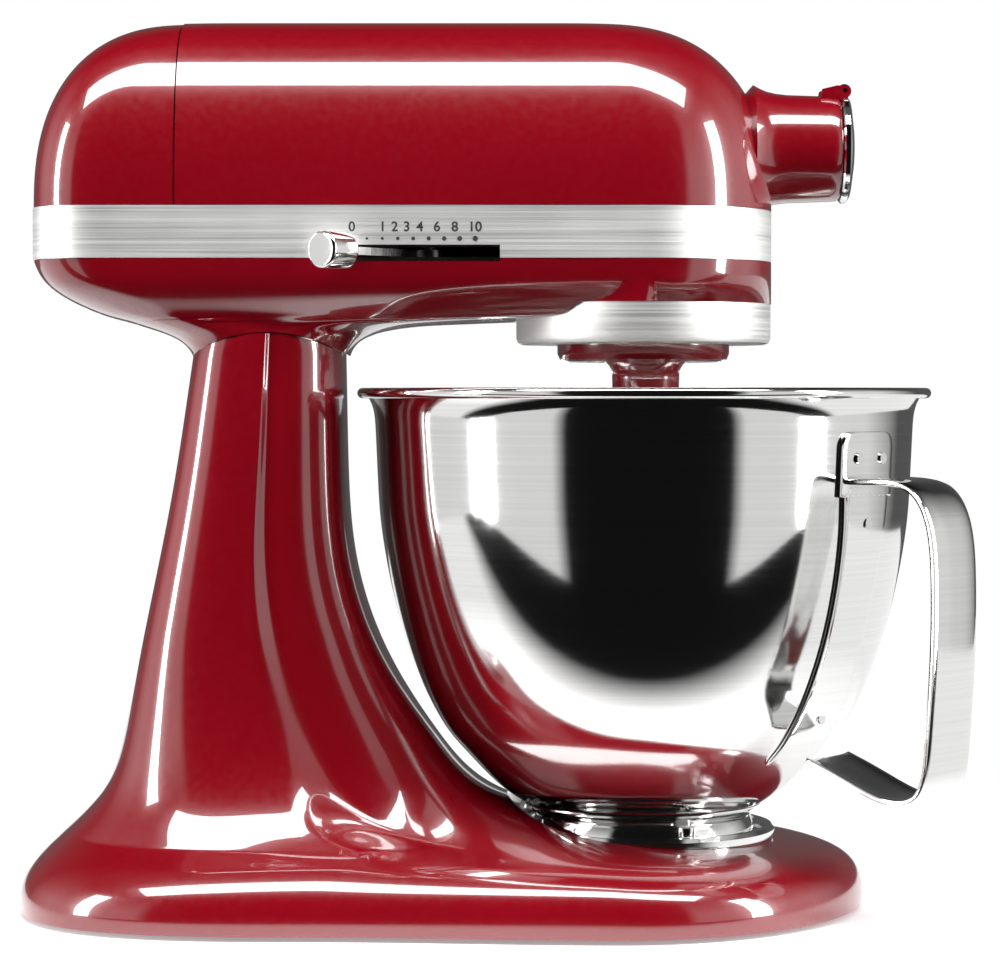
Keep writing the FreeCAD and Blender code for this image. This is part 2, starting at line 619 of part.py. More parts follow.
def speed_control_board():
    return box(slot_x0 + 5, slot_x1 - 2, 2, 3.6, z_belly + 5, z_band_low + 6)

# ---------------------------------------------------------------- gears
pressure = math.radians(20)

def involute(angle):
    return math.tan(angle) - angle

def tooth_half_angle(radius, pitch_radius, teeth, play):
    """Half the angle of a tooth at radius; play is taken off each flank at the pitch circle."""
    base = pitch_radius * math.cos(pressure)
    here = math.acos(min(1.0, base / max(radius, base)))
    return math.pi / (2 * teeth) - play / pitch_radius + involute(pressure) - involute(here)

def gear_points(teeth, module, addendum, dedendum, play, start_deg):
    """Outline of a gear with one tooth centred at start_deg, in its own plane."""
    pitch_radius = teeth * module / 2
    radii = (pitch_radius - dedendum, pitch_radius, pitch_radius + addendum)
    points = []
    for tooth in range(teeth):
        centre = math.radians(start_deg) + 2 * math.pi * tooth / teeth
        for side, steps in ((-1, radii), (1, radii[::-1])):
            for radius in steps:
                angle = centre + side * tooth_half_angle(radius, pitch_radius, teeth, play)
                points.append((radius * math.cos(angle), radius * math.sin(angle)))
    return points

def upright_gear(points, x, y, z0, z1):
    face = polygon_face([vec(x + a, y + b, z0) for a, b in points])
    return face.extrude(vec(0, 0, z1 - z0))

def ruled(lower, upper):
    wires = []
    for points in (lower, upper):
        wires.append(Part.makePolygon(points + [points[0]]))
    return Part.makeLoft(wires, True, True)

# planetary gearing
planet_module = 1.5
planet_teeth = 14
ring_teeth = 40
agitator_offset = planet_module * (ring_teeth - planet_teeth) / 2
agitator_y = -agitator_offset
play = 0.12
z_ring_low = z_nose_low - 8.0
z_ring_high = z_nose_low
disk_low = z_nose_low - 20.4
disk_high = z_ring_low - 0.6
drive_shaft_r = 6.0
z_drive_low = disk_low + 0.8
shaft_bearing_r = drive_shaft_r + 3.5
shaft_bearing_height = 7.0
z_shaft_bearing = z_nose_low + 6.6

def ring_gear():
    outline = gear_points(ring_teeth, planet_module, 1.25 * planet_module, planet_module, -play, -90)
    rim = upright(38.0, x_bowl, 0, z_ring_low, z_ring_high)
    return rim.cut(upright_gear(outline, x_bowl, 0, z_ring_low - 1, z_ring_high + 1))

drip_r = 45.1
drip_low = z_nose_low - 14.3

def drip_ring():
    section = [(32.0, 0), (drip_r - 2.2, 0), (drip_r - 0.7, 0.6), (drip_r, 2.2),
               (drip_r, z_nose_low - drip_low), (drip_r - 2.0, z_nose_low - drip_low), (drip_r - 2.0, 2.0), (32.0, 2.0)]
    return turned(section, x_bowl, 0, drip_low)

disk_r = 30.5
agitator_boss_r = 12.0
boss_low = disk_low - 16.0
agitator_shaft_r = 5.0

def planetary_hub():
    section = [(0, 1.2), (4, 0), (disk_r - 3, 0), (disk_r - 0.9, 0.9), (disk_r, 3),
               (disk_r, disk_high - disk_low), (0, disk_high - disk_low)]
    body = turned(section, x_bowl, 0, disk_low)
    boss_high = disk_low - boss_low
    boss_section = [(0, 0), (agitator_boss_r - 1, 0), (agitator_boss_r + 0.4, 1.0), (agitator_boss_r + 0.4, 4.0),
                    (agitator_boss_r - 0.4, 5.0), (agitator_boss_r - 0.2, boss_high - 3.5),
                    (agitator_boss_r + 1.2, boss_high - 1), (agitator_boss_r + 3.4, boss_high + 0.8),
                    (0, boss_high + 2)]
    body = body.fuse(turned(boss_section, x_bowl, agitator_y, boss_low))
    body = body.cut(upright(agitator_shaft_r + fit, x_bowl, agitator_y, boss_low - 1, disk_high + 1))
    body = body.cut(upright(drive_shaft_r, x_bowl, 0, z_drive_low, disk_high + 1))
    body = body.cut(lengthwise(1.5, 0, disk_low + 6, x_bowl - 11, x_bowl + 11))
    return body.removeSplitter()

def planetary_pin():
    return lengthwise(1.5, 0, disk_low + 6, x_bowl - 11, x_bowl + 11)

def agitator_pinion():
    outline = gear_points(planet_teeth, planet_module, planet_module, 1.25 * planet_module, play, -90)
    gear = upright_gear(outline, x_bowl, agitator_y, z_ring_low, z_ring_high - 1.0)
    return gear.cut(upright(agitator_shaft_r, x_bowl, agitator_y, z_ring_low - 1, z_ring_high))

beater_top = boss_low - 9.0
beater_pin_z = beater_top - 6.0

def agitator_shaft():
    shaft = upright(agitator_shaft_r, x_bowl, agitator_y, beater_top - 15, z_ring_high - 0.6)
    return shaft.cut(crosswise(1.8, x_bowl, beater_pin_z, agitator_y - 12, agitator_y + 12))

def agitator_pin():
    return crosswise(1.8, x_bowl, beater_pin_z, agitator_y - 10.5, agitator_y + 10.5)

def agitator_spring():
    """Closed coils of a compression spring, drawn as separate turns that touch."""
    coils = []
    for k in range(4):
        place = vec(x_bowl, agitator_y, beater_top + 1.2 + 1.8 * k)
        coils.append(Part.makeTorus(agitator_shaft_r + 1.3, 0.9, place))
    return Part.makeCompound(coils)

beater_outline = ((10.0, 156.0), (22.0, 149.0), (36.0, 136.0), (46.0, 118.0), (50.0, 98.0), (48.0, 82.0),
                  (42.0, 66.0), (32.0, 53.0), (18.0, 46.5), (0.0, 45.0))
beater_bar = 8.0
beater_half = 3.0
beater_lift = beater_top - 167.0     # the outline is drawn with the beater's top at 167

def beater_loop(inset):
    right = [vec(x_bowl + max(r - inset, 0), 0, z + inset * (100 - z) / 55) for r, z in beater_outline]
    left = [vec(2 * x_bowl - p.x, 0, p.z) for p in right[-2::-1]]
    return polygon_face(right + left)

def flat_beater():
    web = beater_loop(0).cut(beater_loop(beater_bar)).extrude(vec(0, 2 * beater_half, 0))
    for reach, low, high in ((4, 46, 158), (44, 92, 99), (38, 66, 72)):
        web = web.fuse(box(x_bowl - reach, x_bowl + reach, 0, 2 * beater_half, low, high))
    web.translate(vec(0, agitator_y - beater_half, beater_lift))
    sleeve = upright(agitator_shaft_r + 4.5, x_bowl, agitator_y, beater_top - 24, beater_top)
    body = web.fuse(sleeve)
    body = body.cut(upright(agitator_shaft_r + fit, x_bowl, agitator_y, beater_top - 16, beater_top + 1))
    slot = box(x_bowl - 2.2, x_bowl + 2.2, agitator_y - 12, agitator_y + 12,
               beater_pin_z - 1.8, beater_top + 1)
    body = body.cut(slot).removeSplitter()
    return body

# centre gear, bevels and worm drive
centre_teeth = 48
pinion_teeth = 16
worm_wheel_teeth = 24
worm_module = 1.25
worm_pitch_r = 6.0
worm_y = worm_pitch_r + worm_wheel_teeth * worm_module / 2
gear_distance = (centre_teeth + pinion_teeth) / 2
wheel_x = x_bowl - math.sqrt(gear_distance ** 2 - worm_y ** 2)
z_centre_low = z_band_low + 11.0
z_centre_high = z_centre_low + 8.0
bevel_teeth = 16
bevel_module = 1.5
bevel_pitch_r = bevel_teeth * bevel_module / 2
bevel_width = 4.5
mesh_deg = math.degrees(math.atan2(worm_y, wheel_x - x_bowl))

def vertical_drive_shaft():
    shaft = upright(drive_shaft_r, x_bowl, 0, z_drive_low, z_hub - bevel_pitch_r - 1)
    shaft = shaft.cut(lengthwise(1.5, 0, disk_low + 6, x_bowl - 11, x_bowl + 11))
    return shaft

def centre_gear():
    outline = gear_points(centre_teeth, 1.0, 0.9, 1.2, play, mesh_deg)
    gear = upright_gear(outline, x_bowl, 0, z_centre_low, z_centre_high)
    hub = upright(10.5, x_bowl, 0, z_centre_low - 3, z_centre_high + 3)
    return gear.fuse(hub).cut(upright(drive_shaft_r, x_bowl, 0, z_centre_low - 4, z_centre_high + 4))

def bevel_blank(start_deg):
    """Bevel gear on +Z with its apex at the origin and its large end below it."""
    large = gear_points(bevel_teeth, bevel_module, 0.75 * bevel_module, 1.15 * bevel_module, play, start_deg)
    share = 1 - bevel_width / bevel_pitch_r
    low = [vec(a, b, -bevel_pitch_r) for a, b in large]
    high = [vec(a * share, b * share, -bevel_pitch_r * share) for a, b in large]
    return ruled(low, high)

def centre_bevel():
    gear = bevel_blank(0)
    collar = upright(8.5, 0, 0, -bevel_pitch_r - 4, -bevel_pitch_r)
    gear = gear.fuse(collar).cut(upright(drive_shaft_r, 0, 0, -bevel_pitch_r - 5, -bevel_pitch_r - 1))
    gear.translate(vec(x_bowl, 0, z_hub))
    return gear

bushing_r = 9.0
hub_shaft_r = 7.0

def hub_bevel():
    gear = bevel_blank(180 + 180 / bevel_teeth)
    gear.rotate(vec(0, 0, 0), vec(0, 1, 0), -90)
    gear.translate(vec(x_bowl, 0, z_hub))
    start = x_bowl + bevel_pitch_r
    collar = lengthwise(8.5, 0, z_hub, start, start + 4)
    return gear.fuse(collar).cut(lengthwise(hub_shaft_r - 2, 0, z_hub, start + 1, start + 5))

def hub_drive_shaft():
    start = x_bowl + bevel_pitch_r
    shaft = lengthwise(hub_shaft_r - 2, 0, z_hub, start + 1, start + 4)
    shaft = shaft.fuse(lengthwise(hub_shaft_r, 0, z_hub, start + 4, hub_bore_rear))
    socket = box(start + 7, hub_bore_rear + 1, -4.1, 4.1, z_hub - 4.1, z_hub + 4.1)
    return shaft.cut(socket)

def hub_bushing():
    start = x_bowl + bevel_pitch_r + 6
    body = lengthwise(bushing_r, 0, z_hub, start, hub_bore_rear)
    return body.cut(lengthwise(hub_shaft_r + fit, 0, z_hub, start - 1, hub_bore_rear + 1))

wheel_shaft_r = 4.0
wheel_thick = 6.0
z_wheel_low = z_motor - wheel_thick / 2

def lead_shift():
    """Turn of the wheel's teeth over its thickness, to follow the worm's lead."""
    slope = worm_module / (2 * worm_pitch_r)
    return math.degrees(wheel_thick * slope / (worm_wheel_teeth * worm_module / 2))

def worm_wheel():
    play_here = 0.32
    twist = lead_shift()
    outlines = []
    for share, z in ((-0.5, z_wheel_low), (0.5, z_wheel_low + wheel_thick)):
        outline = gear_points(worm_wheel_teeth, worm_module, 0.8 * worm_module, 1.2 * worm_module, play_here,
                              -90 + share * twist)
        outlines.append([vec(wheel_x + a, worm_y + b, z) for a, b in outline])
    gear = ruled(outlines[0], outlines[1])
    gear = gear.fuse(upright(8, wheel_x, worm_y, z_wheel_low - 4, z_wheel_low))
    return gear.cut(upright(wheel_shaft_r, wheel_x, worm_y, z_wheel_low - 5, z_wheel_low + wheel_thick + 1))

def pinion_shaft():
    outline = gear_points(pinion_teeth, 1.0, 0.9, 1.2, play, mesh_deg + 180 + 180 / pinion_teeth)
    gear = upright_gear(outline, wheel_x, worm_y, z_centre_low - 1, z_centre_high + 1)
    return gear.fuse(upright(wheel_shaft_r, wheel_x, worm_y, z_centre_low - 6, z_wheel_low + wheel_thick + 4))

shaft_r = 4.0
worm_x0 = wheel_x - 13.0
worm_x1 = wheel_x + 13.0
armature_rear = head_rear + 22.1
armature_front = wheel_x + 17.0
worm_phase = 260.0

def worm_thread():
    """One-start thread: a trapezoid swept along a helix."""
    pitch = math.pi * worm_module
    root = worm_pitch_r - 1.2 * worm_module
    tip = worm_pitch_r + 0.8 * worm_module
    turns = 6
    helix = Part.makeHelix(pitch, pitch * turns, worm_pitch_r)
    half_pitch = pitch / 4 - 0.1
    slope = math.tan(pressure)
    corners = []
    for radius, side in ((root - 0.3, -1), (tip, -1), (tip, 1), (root - 0.3, 1)):
        corners.append(vec(radius, 0, side * (half_pitch - (radius - worm_pitch_r) * slope)))
    profile = Part.makePolygon(corners + [corners[0]])
    thread = Part.Wire(helix.Edges).makePipeShell([profile], True, True)
    thread.translate(vec(0, 0, -pitch * turns / 2))
    thread.rotate(vec(0, 0, 0), vec(0, 0, 1), worm_phase)
    thread.rotate(vec(0, 0, 0), vec(0, 1, 0), 90)
    thread.translate(vec(wheel_x, 0, z_motor))
    return thread

def armature_shaft():
    root = worm_pitch_r - 1.2 * worm_module
    shaft = lengthwise(shaft_r, 0, z_motor, armature_rear, armature_front)
    core = lengthwise(root, 0, z_motor, worm_x0, worm_x1)
    return fused(shaft, core, worm_thread())

stator_x0 = cover_seam + 11.4
stator_x1 = stator_x0 + 45.0
core_r = 20.0
stator_bore = 21.0
stator_r = 33.0

def armature_core():
    body = lengthwise(core_r, 0, z_motor, stator_x0, stator_x1)
    for k in range(12):
        angle = math.radians(30 * k)
        y = (core_r - 1) * math.cos(angle)
        z = z_motor + (core_r - 1) * math.sin(angle)
        body = body.cut(lengthwise(1.8, y, z, stator_x0 - 1, stator_x1 + 1))
    return body.cut(lengthwise(shaft_r, 0, z_motor, stator_x0 - 1, stator_x1 + 1))

def commutator():
    body = lengthwise(11.0, 0, z_motor, stator_x0 - 22, stator_x0 - 8)
    for k in range(12):
        angle = 30 * k
        slit = box(stator_x0 - 23, stator_x0 - 9.5, 9.8, 12, -0.3, 0.3)
        slit.rotate(vec(0, 0, 0), vec(1, 0, 0), angle)
        slit.translate(vec(0, 0, z_motor))
        body = body.cut(slit)
    return body.cut(lengthwise(shaft_r, 0, z_motor, stator_x0 - 23, stator_x0))

def cooling_fan():
    x0 = stator_x1 + 6
    hub = lengthwise(9, 0, z_motor, x0, x0 + 9)
    disk = lengthwise(27, 0, z_motor, x0 + 7.5, x0 + 9)
    body = hub.fuse(disk)
    for k in range(9):
        blade = box(x0, x0 + 8, 8, 26.5, -0.7, 0.7)
        blade.rotate(vec(0, 14, 0), vec(1, 0, 0), 25)
        blade.rotate(vec(0, 0, 0), vec(1, 0, 0), 40 * k)
        blade.translate(vec(0, 0, z_motor))
        body = body.fuse(blade)
    return body.cut(lengthwise(shaft_r, 0, z_motor, x0 - 1, x0 + 10)).removeSplitter()

def motor_stator():
    body = lengthwise(stator_r, 0, z_motor, stator_x0 + 1, stator_x1 - 1)
    body = body.cut(lengthwise(stator_bore, 0, z_motor, stator_x0, stator_x1))
    for side in (-1, 1):
        y0, y1 = sorted((side * 19, side * 28))
        body = body.cut(box(stator_x0, stator_x1, y0, y1, z_motor - 10, z_motor + 10))
    return body

def field_coil(side):
    y0, y1 = sorted((side * 21.8, side * 27.7))
    body = box(stator_x0 - 4, stator_x1 + 3, y0, y1, z_motor - 9.7, z_motor + 9.7)
    return body.makeFillet(2.0, [e for e in body.Edges if abs(e.Length - (stator_x1 - stator_x0 + 7)) < 0.01])

def both_sides(make):
    return Part.makeCompound([make(-1), make(1)])

def brush_holder(side):
    y0, y1 = sorted((side * 11.4, side * 34))
    x = stator_x0 - 15
    return box(x - 4, x + 4, y0, y1, z_motor - 4, z_motor + 4)

def bearing(x0, outer):
    body = lengthwise(outer, 0, z_motor, x0, x0 + 7)
    return body.cut(lengthwise(shaft_r + fit, 0, z_motor, x0 - 1, x0 + 8))

rear_bracket_x = head_rear + 28.1
front_bracket_x = wheel_x - 26.0

def motor_bracket(x0, thick, hole):
    """A cast plate across the head that carries an armature bearing."""
    slice_box = box(x0, x0 + thick, -base_half, base_half, z_band_low + 8, z_crown)
    below = head_slab(wall + collar_inset + 0.2, z_band_low + 4, z_band_high + 0.5)
    inside = head_top(wall + 0.2).fuse(below)
    plate = inside.common(slice_box)
    plate = plate.common(box(x0, x0 + thick, -37, 37, z_band_low + 8, z_motor + 30))
    return plate.cut(lengthwise(hole, 0, z_motor, x0 - 1, x0 + thick + 1))

def gear_bracket():
    """Bridge under the worm wheel with the pinion shaft's bearing."""
    x0 = wheel_x - 18
    plate = box(x0, wheel_x + 10, worm_y - 14, worm_y + 12, z_centre_high + 4, z_centre_high + 8)
    plate = plate.fuse(upright(8, wheel_x, worm_y, z_centre_high + 4, z_centre_high + 12))
    foot = box(x0, x0 + 3, worm_y - 14, worm_y + 12, z_nose_low + wall, z_centre_high + 5)
    body = plate.fuse(foot)
    return body.cut(upright(wheel_shaft_r + fit, wheel_x, worm_y, z_centre_low, z_centre_high + 20))

def pinion_bearing():
    low = z_centre_low - 7
    post = upright(6.5, wheel_x, worm_y, z_nose_low + wall, low + 5)
    return post.cut(upright(wheel_shaft_r + fit, wheel_x, worm_y, low, low + 6))

def shaft_bearing():
    body = upright(shaft_bearing_r, x_bowl, 0, z_shaft_bearing, z_shaft_bearing + shaft_bearing_height)
    return body.cut(upright(drive_shaft_r + fit, x_bowl, 0, z_shaft_bearing - 1, z_shaft_bearing + 10))

# ---------------------------------------------------------------- hub cover and attachment screw
cover_r = 19.2
cover_hinge_r = 1.6
cover_hinge_z = z_hub + hub_tip_r + 1.9
cover_hinge_x = hub_front + 1.8

def hub_cover():
    section = [vec(hub_front + gap, 0, z_hub), vec(hub_front + gap, 0, z_hub + cover_r - 0.6),
               vec(hub_front + 1.0, 0, z_hub + cover_r), vec(hub_front + 2.6, 0, z_hub + cover_r - 0.2),
               vec(hub_front + 3.6, 0, z_hub + cover_r - 1.8), vec(hub_front + 4.8, 0, z_hub + 10),
               vec(hub_front + 5.2, 0, z_hub)]
    disc = spin_profile(section, vec(0, 0, z_hub), vec(1, 0, 0))
    disc = disc.cut(box(hub_front - 1, hub_front + 6, -8.2, 8.2, z_hub + cover_r - 1.6, z_hub + 25))
    knuckle = crosswise(cover_hinge_r + 0.9, cover_hinge_x, cover_hinge_z, -3.2, 3.2)
    web = box(cover_hinge_x - 1.2, cover_hinge_x + 1.4, -3.2, 3.2, z_hub + cover_r - 3.2, cover_hinge_z)
    return fused(disc, knuckle, web).cut(crosswise(cover_hinge_r - 0.8, cover_hinge_x, cover_hinge_z, -4, 4))

def cover_ears():
    ears = []
    for side in (-1, 1):
        y0, y1 = sorted((side * 3.6, side * 6.6))
        ear = crosswise(cover_hinge_r + 0.9, cover_hinge_x, cover_hinge_z, y0, y1)
        ear = ear.fuse(box(hub_front - 6, cover_hinge_x, y0, y1, cover_hinge_z - 2.5, cover_hinge_z + 0.9))
        hole = crosswise(cover_hinge_r - 0.8 + fit, cover_hinge_x, cover_hinge_z, y0 - 1, y1 + 1)
        ears.append(ear.cut(hole))
    return ears

def hub_cover_pin():
    return crosswise(cover_hinge_r - 0.8, cover_hinge_x, cover_hinge_z, -6.6, 6.6)

clamp_screw_x = hub_front - 16.6
clamp_screw_r = 3.0
attachment_knob_r = 8.5

def clamp_screw():
    return crosswise(clamp_screw_r, clamp_screw_x, z_hub, hub_bore_r + 0.5, hub_r + 12)

def attachment_knob():
    y0 = hub_r + 1.4
    body = crosswise(attachment_knob_r, clamp_screw_x, z_hub, y0, y0 + 13)
    body = body.makeFillet(1.5, [body.Edges[0], body.Edges[2]])
    for k in range(10):
        angle = math.radians(36 * k)
        x = clamp_screw_x + (attachment_knob_r + 0.8) * math.cos(angle)
        z = z_hub + (attachment_knob_r + 0.8) * math.sin(angle)
        body = body.cut(crosswise(1.8, x, z, y0 - 1, y0 + 14))
    return body.cut(crosswise(clamp_screw_r + fit, clamp_screw_x, z_hub, y0 - 1, hub_r + 12.3))

# ---------------------------------------------------------------- all nodes
def all_nodes():
    nodes = {
        "base_casting": base_casting, "pedestal_casting": pedestal_casting,
        "hinge_pin": hinge_pin, "lock_keeper": lock_keeper,
        "bowl_clamp_plate": bowl_clamp_plate, "clamp_plate_screws": clamp_plate_screws, "foot_screws": foot_screws,
        "bowl_shell": bowl_shell, "bowl_foot_ring": bowl_foot_ring, "bowl_handle": bowl_handle,
        "gear_case": gear_case, "motor_housing": motor_housing, "hub_barrel": hub_barrel, "end_cover": end_cover,
        "end_cover_screw": end_cover_screw, "trim_band": trim_band, "slot_guide": slot_guide,
        "drip_ring": drip_ring, "ring_gear": ring_gear, "shaft_bearing": shaft_bearing,
        "gear_bracket": gear_bracket, "pinion_bearing": pinion_bearing, "motor_stator": motor_stator,
        "speed_control_board": speed_control_board, "cord_gland": cord_gland, "hub_bushing": hub_bushing,
        "speed_lever_post": speed_lever_post, "hub_cover": hub_cover, "hub_cover_pin": hub_cover_pin,
        "planetary_hub": planetary_hub, "vertical_drive_shaft": vertical_drive_shaft,
        "centre_gear": centre_gear,
        "centre_bevel": centre_bevel, "planetary_pin": planetary_pin, "agitator_shaft": agitator_shaft,
        "agitator_pinion": agitator_pinion, "agitator_pin": agitator_pin, "agitator_spring": agitator_spring,
        "flat_beater": flat_beater, "worm_wheel": worm_wheel, "pinion_shaft": pinion_shaft,
        "armature_shaft": armature_shaft, "armature_core": armature_core, "commutator": commutator,
        "cooling_fan": cooling_fan, "hub_drive_shaft": hub_drive_shaft, "hub_bevel": hub_bevel,
        "speed_lever_arm": speed_lever_arm, "speed_knob": speed_knob, "lock_shaft": lock_shaft,
        "lock_knob": lock_knob, "clamp_screw": clamp_screw, "attachment_knob": attachment_knob,
        "field_coils": lambda: both_sides(field_coil), "brush_holders": lambda: both_sides(brush_holder),
        "rear_armature_bearing": lambda: bearing(rear_bracket_x, 9),
        "front_armature_bearing": lambda: bearing(front_bracket_x, 9),
        "rear_motor_bracket": lambda: motor_bracket(rear_bracket_x, 7, 9),
        "front_motor_bracket": lambda: motor_bracket(front_bracket_x, 7, 9),
    }
    return nodes

def feet():
    pads = []
    for x, y in foot_places:
        pads.append(rubber_foot(x, y))
    return Part.makeCompound(pads)

def main():
    os.makedirs("parts", exist_ok=True)
    nodes = all_nodes()
    nodes["rubber_feet"] = feet
    for name, make in nodes.items():
        shape = make()
        shape.exportStep("parts/" + name + ".step")
        extent = shape.BoundBox
        sides = (extent.XMin, extent.XMax, extent.YMin, extent.YMax, extent.ZMin, extent.ZMax)
        print(name, len(shape.Solids), "solids", round(shape.Volume / 1000, 2), "cm3, valid", shape.isValid(),
              [round(v, 1) for v in sides])

main()
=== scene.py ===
import bpy
import bmesh
import json
import math
import numpy as np
from mathutils import Matrix, Vector


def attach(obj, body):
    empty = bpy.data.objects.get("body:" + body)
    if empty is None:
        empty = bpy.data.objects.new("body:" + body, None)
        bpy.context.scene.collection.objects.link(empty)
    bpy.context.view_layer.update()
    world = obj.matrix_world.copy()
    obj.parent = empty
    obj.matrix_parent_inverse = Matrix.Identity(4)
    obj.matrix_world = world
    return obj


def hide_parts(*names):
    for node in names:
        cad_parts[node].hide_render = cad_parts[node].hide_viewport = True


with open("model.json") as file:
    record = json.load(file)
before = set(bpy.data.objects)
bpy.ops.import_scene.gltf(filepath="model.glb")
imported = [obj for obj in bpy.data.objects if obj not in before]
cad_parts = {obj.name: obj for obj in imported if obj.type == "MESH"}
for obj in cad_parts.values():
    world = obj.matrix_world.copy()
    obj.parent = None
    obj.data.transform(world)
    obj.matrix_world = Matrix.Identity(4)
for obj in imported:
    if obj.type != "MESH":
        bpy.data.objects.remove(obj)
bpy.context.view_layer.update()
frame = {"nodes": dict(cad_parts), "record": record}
print("frame loaded:", len(frame["nodes"]), "nodes")

mm = 0.001

# camera
cameraSettings = {"place": (0.0046, -1.130, 0.181), "tiltDown": 1.64, "lens": 114.3, "sensor": 36.0,
                  "near": 0.02, "far": 60.0}

def makeCamera(s):
    data = bpy.data.cameras.new("sideCamera")
    data.lens = s["lens"]
    data.sensor_width = s["sensor"]
    data.clip_start, data.clip_end = s["near"], s["far"]
    camera = bpy.data.objects.new("sideCamera", data)
    camera.location = s["place"]
    camera.rotation_euler = (math.radians(90 - s["tiltDown"]), 0, 0)
    bpy.context.scene.collection.objects.link(camera)
    bpy.context.scene.camera = camera

makeCamera(cameraSettings)

# node helpers
def addNode(tree, kind, props=None, **values):
    node = tree.nodes.new(kind)
    for key, value in (props or {}).items():
        setattr(node, key, value)
    for key, value in values.items():
        node.inputs[key].default_value = value
    return node

def startMaterial(name, **values):
    material = bpy.data.materials.new(name)
    material.use_nodes = True
    tree = material.node_tree
    shader = tree.nodes["Principled BSDF"]
    for key, value in values.items():
        shader.inputs[key.replace("_", " ")].default_value = value
    return material, tree, shader

def objectPattern(tree, scale=(1, 1, 1), turn=(0, 0, 0)):
    coords = addNode(tree, "ShaderNodeTexCoord")
    mapping = addNode(tree, "ShaderNodeMapping", Scale=scale, Rotation=turn)
    tree.links.new(coords.outputs["Object"], mapping.inputs["Vector"])
    return mapping.outputs["Vector"]

def noiseOn(tree, vector, scale, detail=4.0, rough=0.5):
    noise = addNode(tree, "ShaderNodeTexNoise", Scale=scale, Detail=detail, Roughness=rough)
    tree.links.new(vector, noise.inputs["Vector"])
    return noise.outputs["Fac"]

def ranged(tree, value, low, high, fromLow=0.3, fromHigh=0.7):
    node = tree.nodes.new("ShaderNodeMapRange")
    for socket, number in zip(("From Min", "From Max", "To Min", "To Max"), (fromLow, fromHigh, low, high)):
        node.inputs[socket].default_value = number
    tree.links.new(value, node.inputs["Value"])
    return node.outputs["Result"]

def tinted(tree, value, dark, light):
    ramp = tree.nodes.new("ShaderNodeValToRGB")
    ramp.color_ramp.elements[0].position, ramp.color_ramp.elements[1].position = 0.3, 0.7
    ramp.color_ramp.elements[0].color = (*dark, 1)
    ramp.color_ramp.elements[1].color = (*light, 1)
    tree.links.new(value, ramp.inputs["Fac"])
    return ramp.outputs["Color"]

def bumped(tree, shader, value, strength, distance):
    bump = addNode(tree, "ShaderNodeBump", Strength=strength, Distance=distance)
    tree.links.new(value, bump.inputs["Height"])
    tree.links.new(bump.outputs["Normal"], shader.inputs["Normal"])

# finishes
def redEnamel():
    material, tree, shader = startMaterial("redEnamel", Coat_Weight=1.0, Coat_Roughness=0.02, Coat_IOR=1.8)
    wide = noiseOn(tree, objectPattern(tree), 9.0, 2.0)
    darkRed, lightRed = (0.200, 0.0006, 0.0055), (0.225, 0.0010, 0.0075)
    tree.links.new(tinted(tree, wide, darkRed, lightRed), shader.inputs["Base Color"])
    fine = noiseOn(tree, objectPattern(tree), 420.0, 2.0)
    tree.links.new(ranged(tree, fine, 0.20, 0.27), shader.inputs["Roughness"])
    bumped(tree, shader, fine, 0.05, 0.00008)
    return material

def brushedMetal(name, tones, roughness, stretch, turn=(0, 0, 0), depth=0.12, grain=1.0):
    material, tree, shader = startMaterial(name, Metallic=1.0)
    lines = noiseOn(tree, objectPattern(tree, stretch, turn), grain, 3.0, 0.6)
    clouds = noiseOn(tree, objectPattern(tree), 24.0, 2.0)
    tree.links.new(tinted(tree, lines, *tones), shader.inputs["Base Color"])
    mix = addNode(tree, "ShaderNodeMath", {"operation": "MULTIPLY_ADD"})
    tree.links.new(clouds, mix.inputs[0])
    mix.inputs[1].default_value = roughness * 0.25
    tree.links.new(ranged(tree, lines, roughness * 0.75, roughness * 1.05), mix.inputs[2])
    tree.links.new(mix.outputs[0], shader.inputs["Roughness"])
    bumped(tree, shader, lines, depth, 0.00005)
    return material

def roundBrushed(name, tones, roughness, centre, depth, linesPerMetre):
    material, tree, shader = startMaterial(name, Metallic=1.0)
    coords = addNode(tree, "ShaderNodeTexCoord")
    parts = addNode(tree, "ShaderNodeSeparateXYZ")
    tree.links.new(coords.outputs["Object"], parts.inputs[0])
    radius = addNode(tree, "ShaderNodeVectorMath", {"operation": "DISTANCE"})
    flat = addNode(tree, "ShaderNodeCombineXYZ")
    tree.links.new(parts.outputs["X"], flat.inputs["X"])
    tree.links.new(parts.outputs["Y"], flat.inputs["Y"])
    tree.links.new(flat.outputs[0], radius.inputs[0])
    radius.inputs[1].default_value = (centre[0], centre[1], 0)
    along = addNode(tree, "ShaderNodeCombineXYZ")
    tree.links.new(radius.outputs["Value"], along.inputs["X"])
    tree.links.new(parts.outputs["Z"], along.inputs["Z"])
    lines = noiseOn(tree, along.outputs[0], linesPerMetre, 3.0, 0.65)
    clouds = noiseOn(tree, objectPattern(tree), 30.0, 3.0)
    tree.links.new(tinted(tree, lines, *tones), shader.inputs["Base Color"])
    mix = addNode(tree, "ShaderNodeMath", {"operation": "MULTIPLY_ADD"})
    tree.links.new(clouds, mix.inputs[0])
    mix.inputs[1].default_value = roughness * 0.3
    tree.links.new(ranged(tree, lines, roughness * 0.7, roughness * 1.0), mix.inputs[2])
    tree.links.new(mix.outputs[0], shader.inputs["Roughness"])
    bumped(tree, shader, lines, depth, 0.00004)
    return material

def speckled(name, dark, light, roughness, scale, depth, **values):
    material, tree, shader = startMaterial(name, **values)
    grain = noiseOn(tree, objectPattern(tree), scale, 4.0)
    tree.links.new(tinted(tree, grain, dark, light), shader.inputs["Base Color"])
    tree.links.new(ranged(tree, grain, roughness[0], roughness[1]), shader.inputs["Roughness"])
    bumped(tree, shader, grain, depth, 0.0001)
    return material

bowlCentre = (0.0555, 0.0)

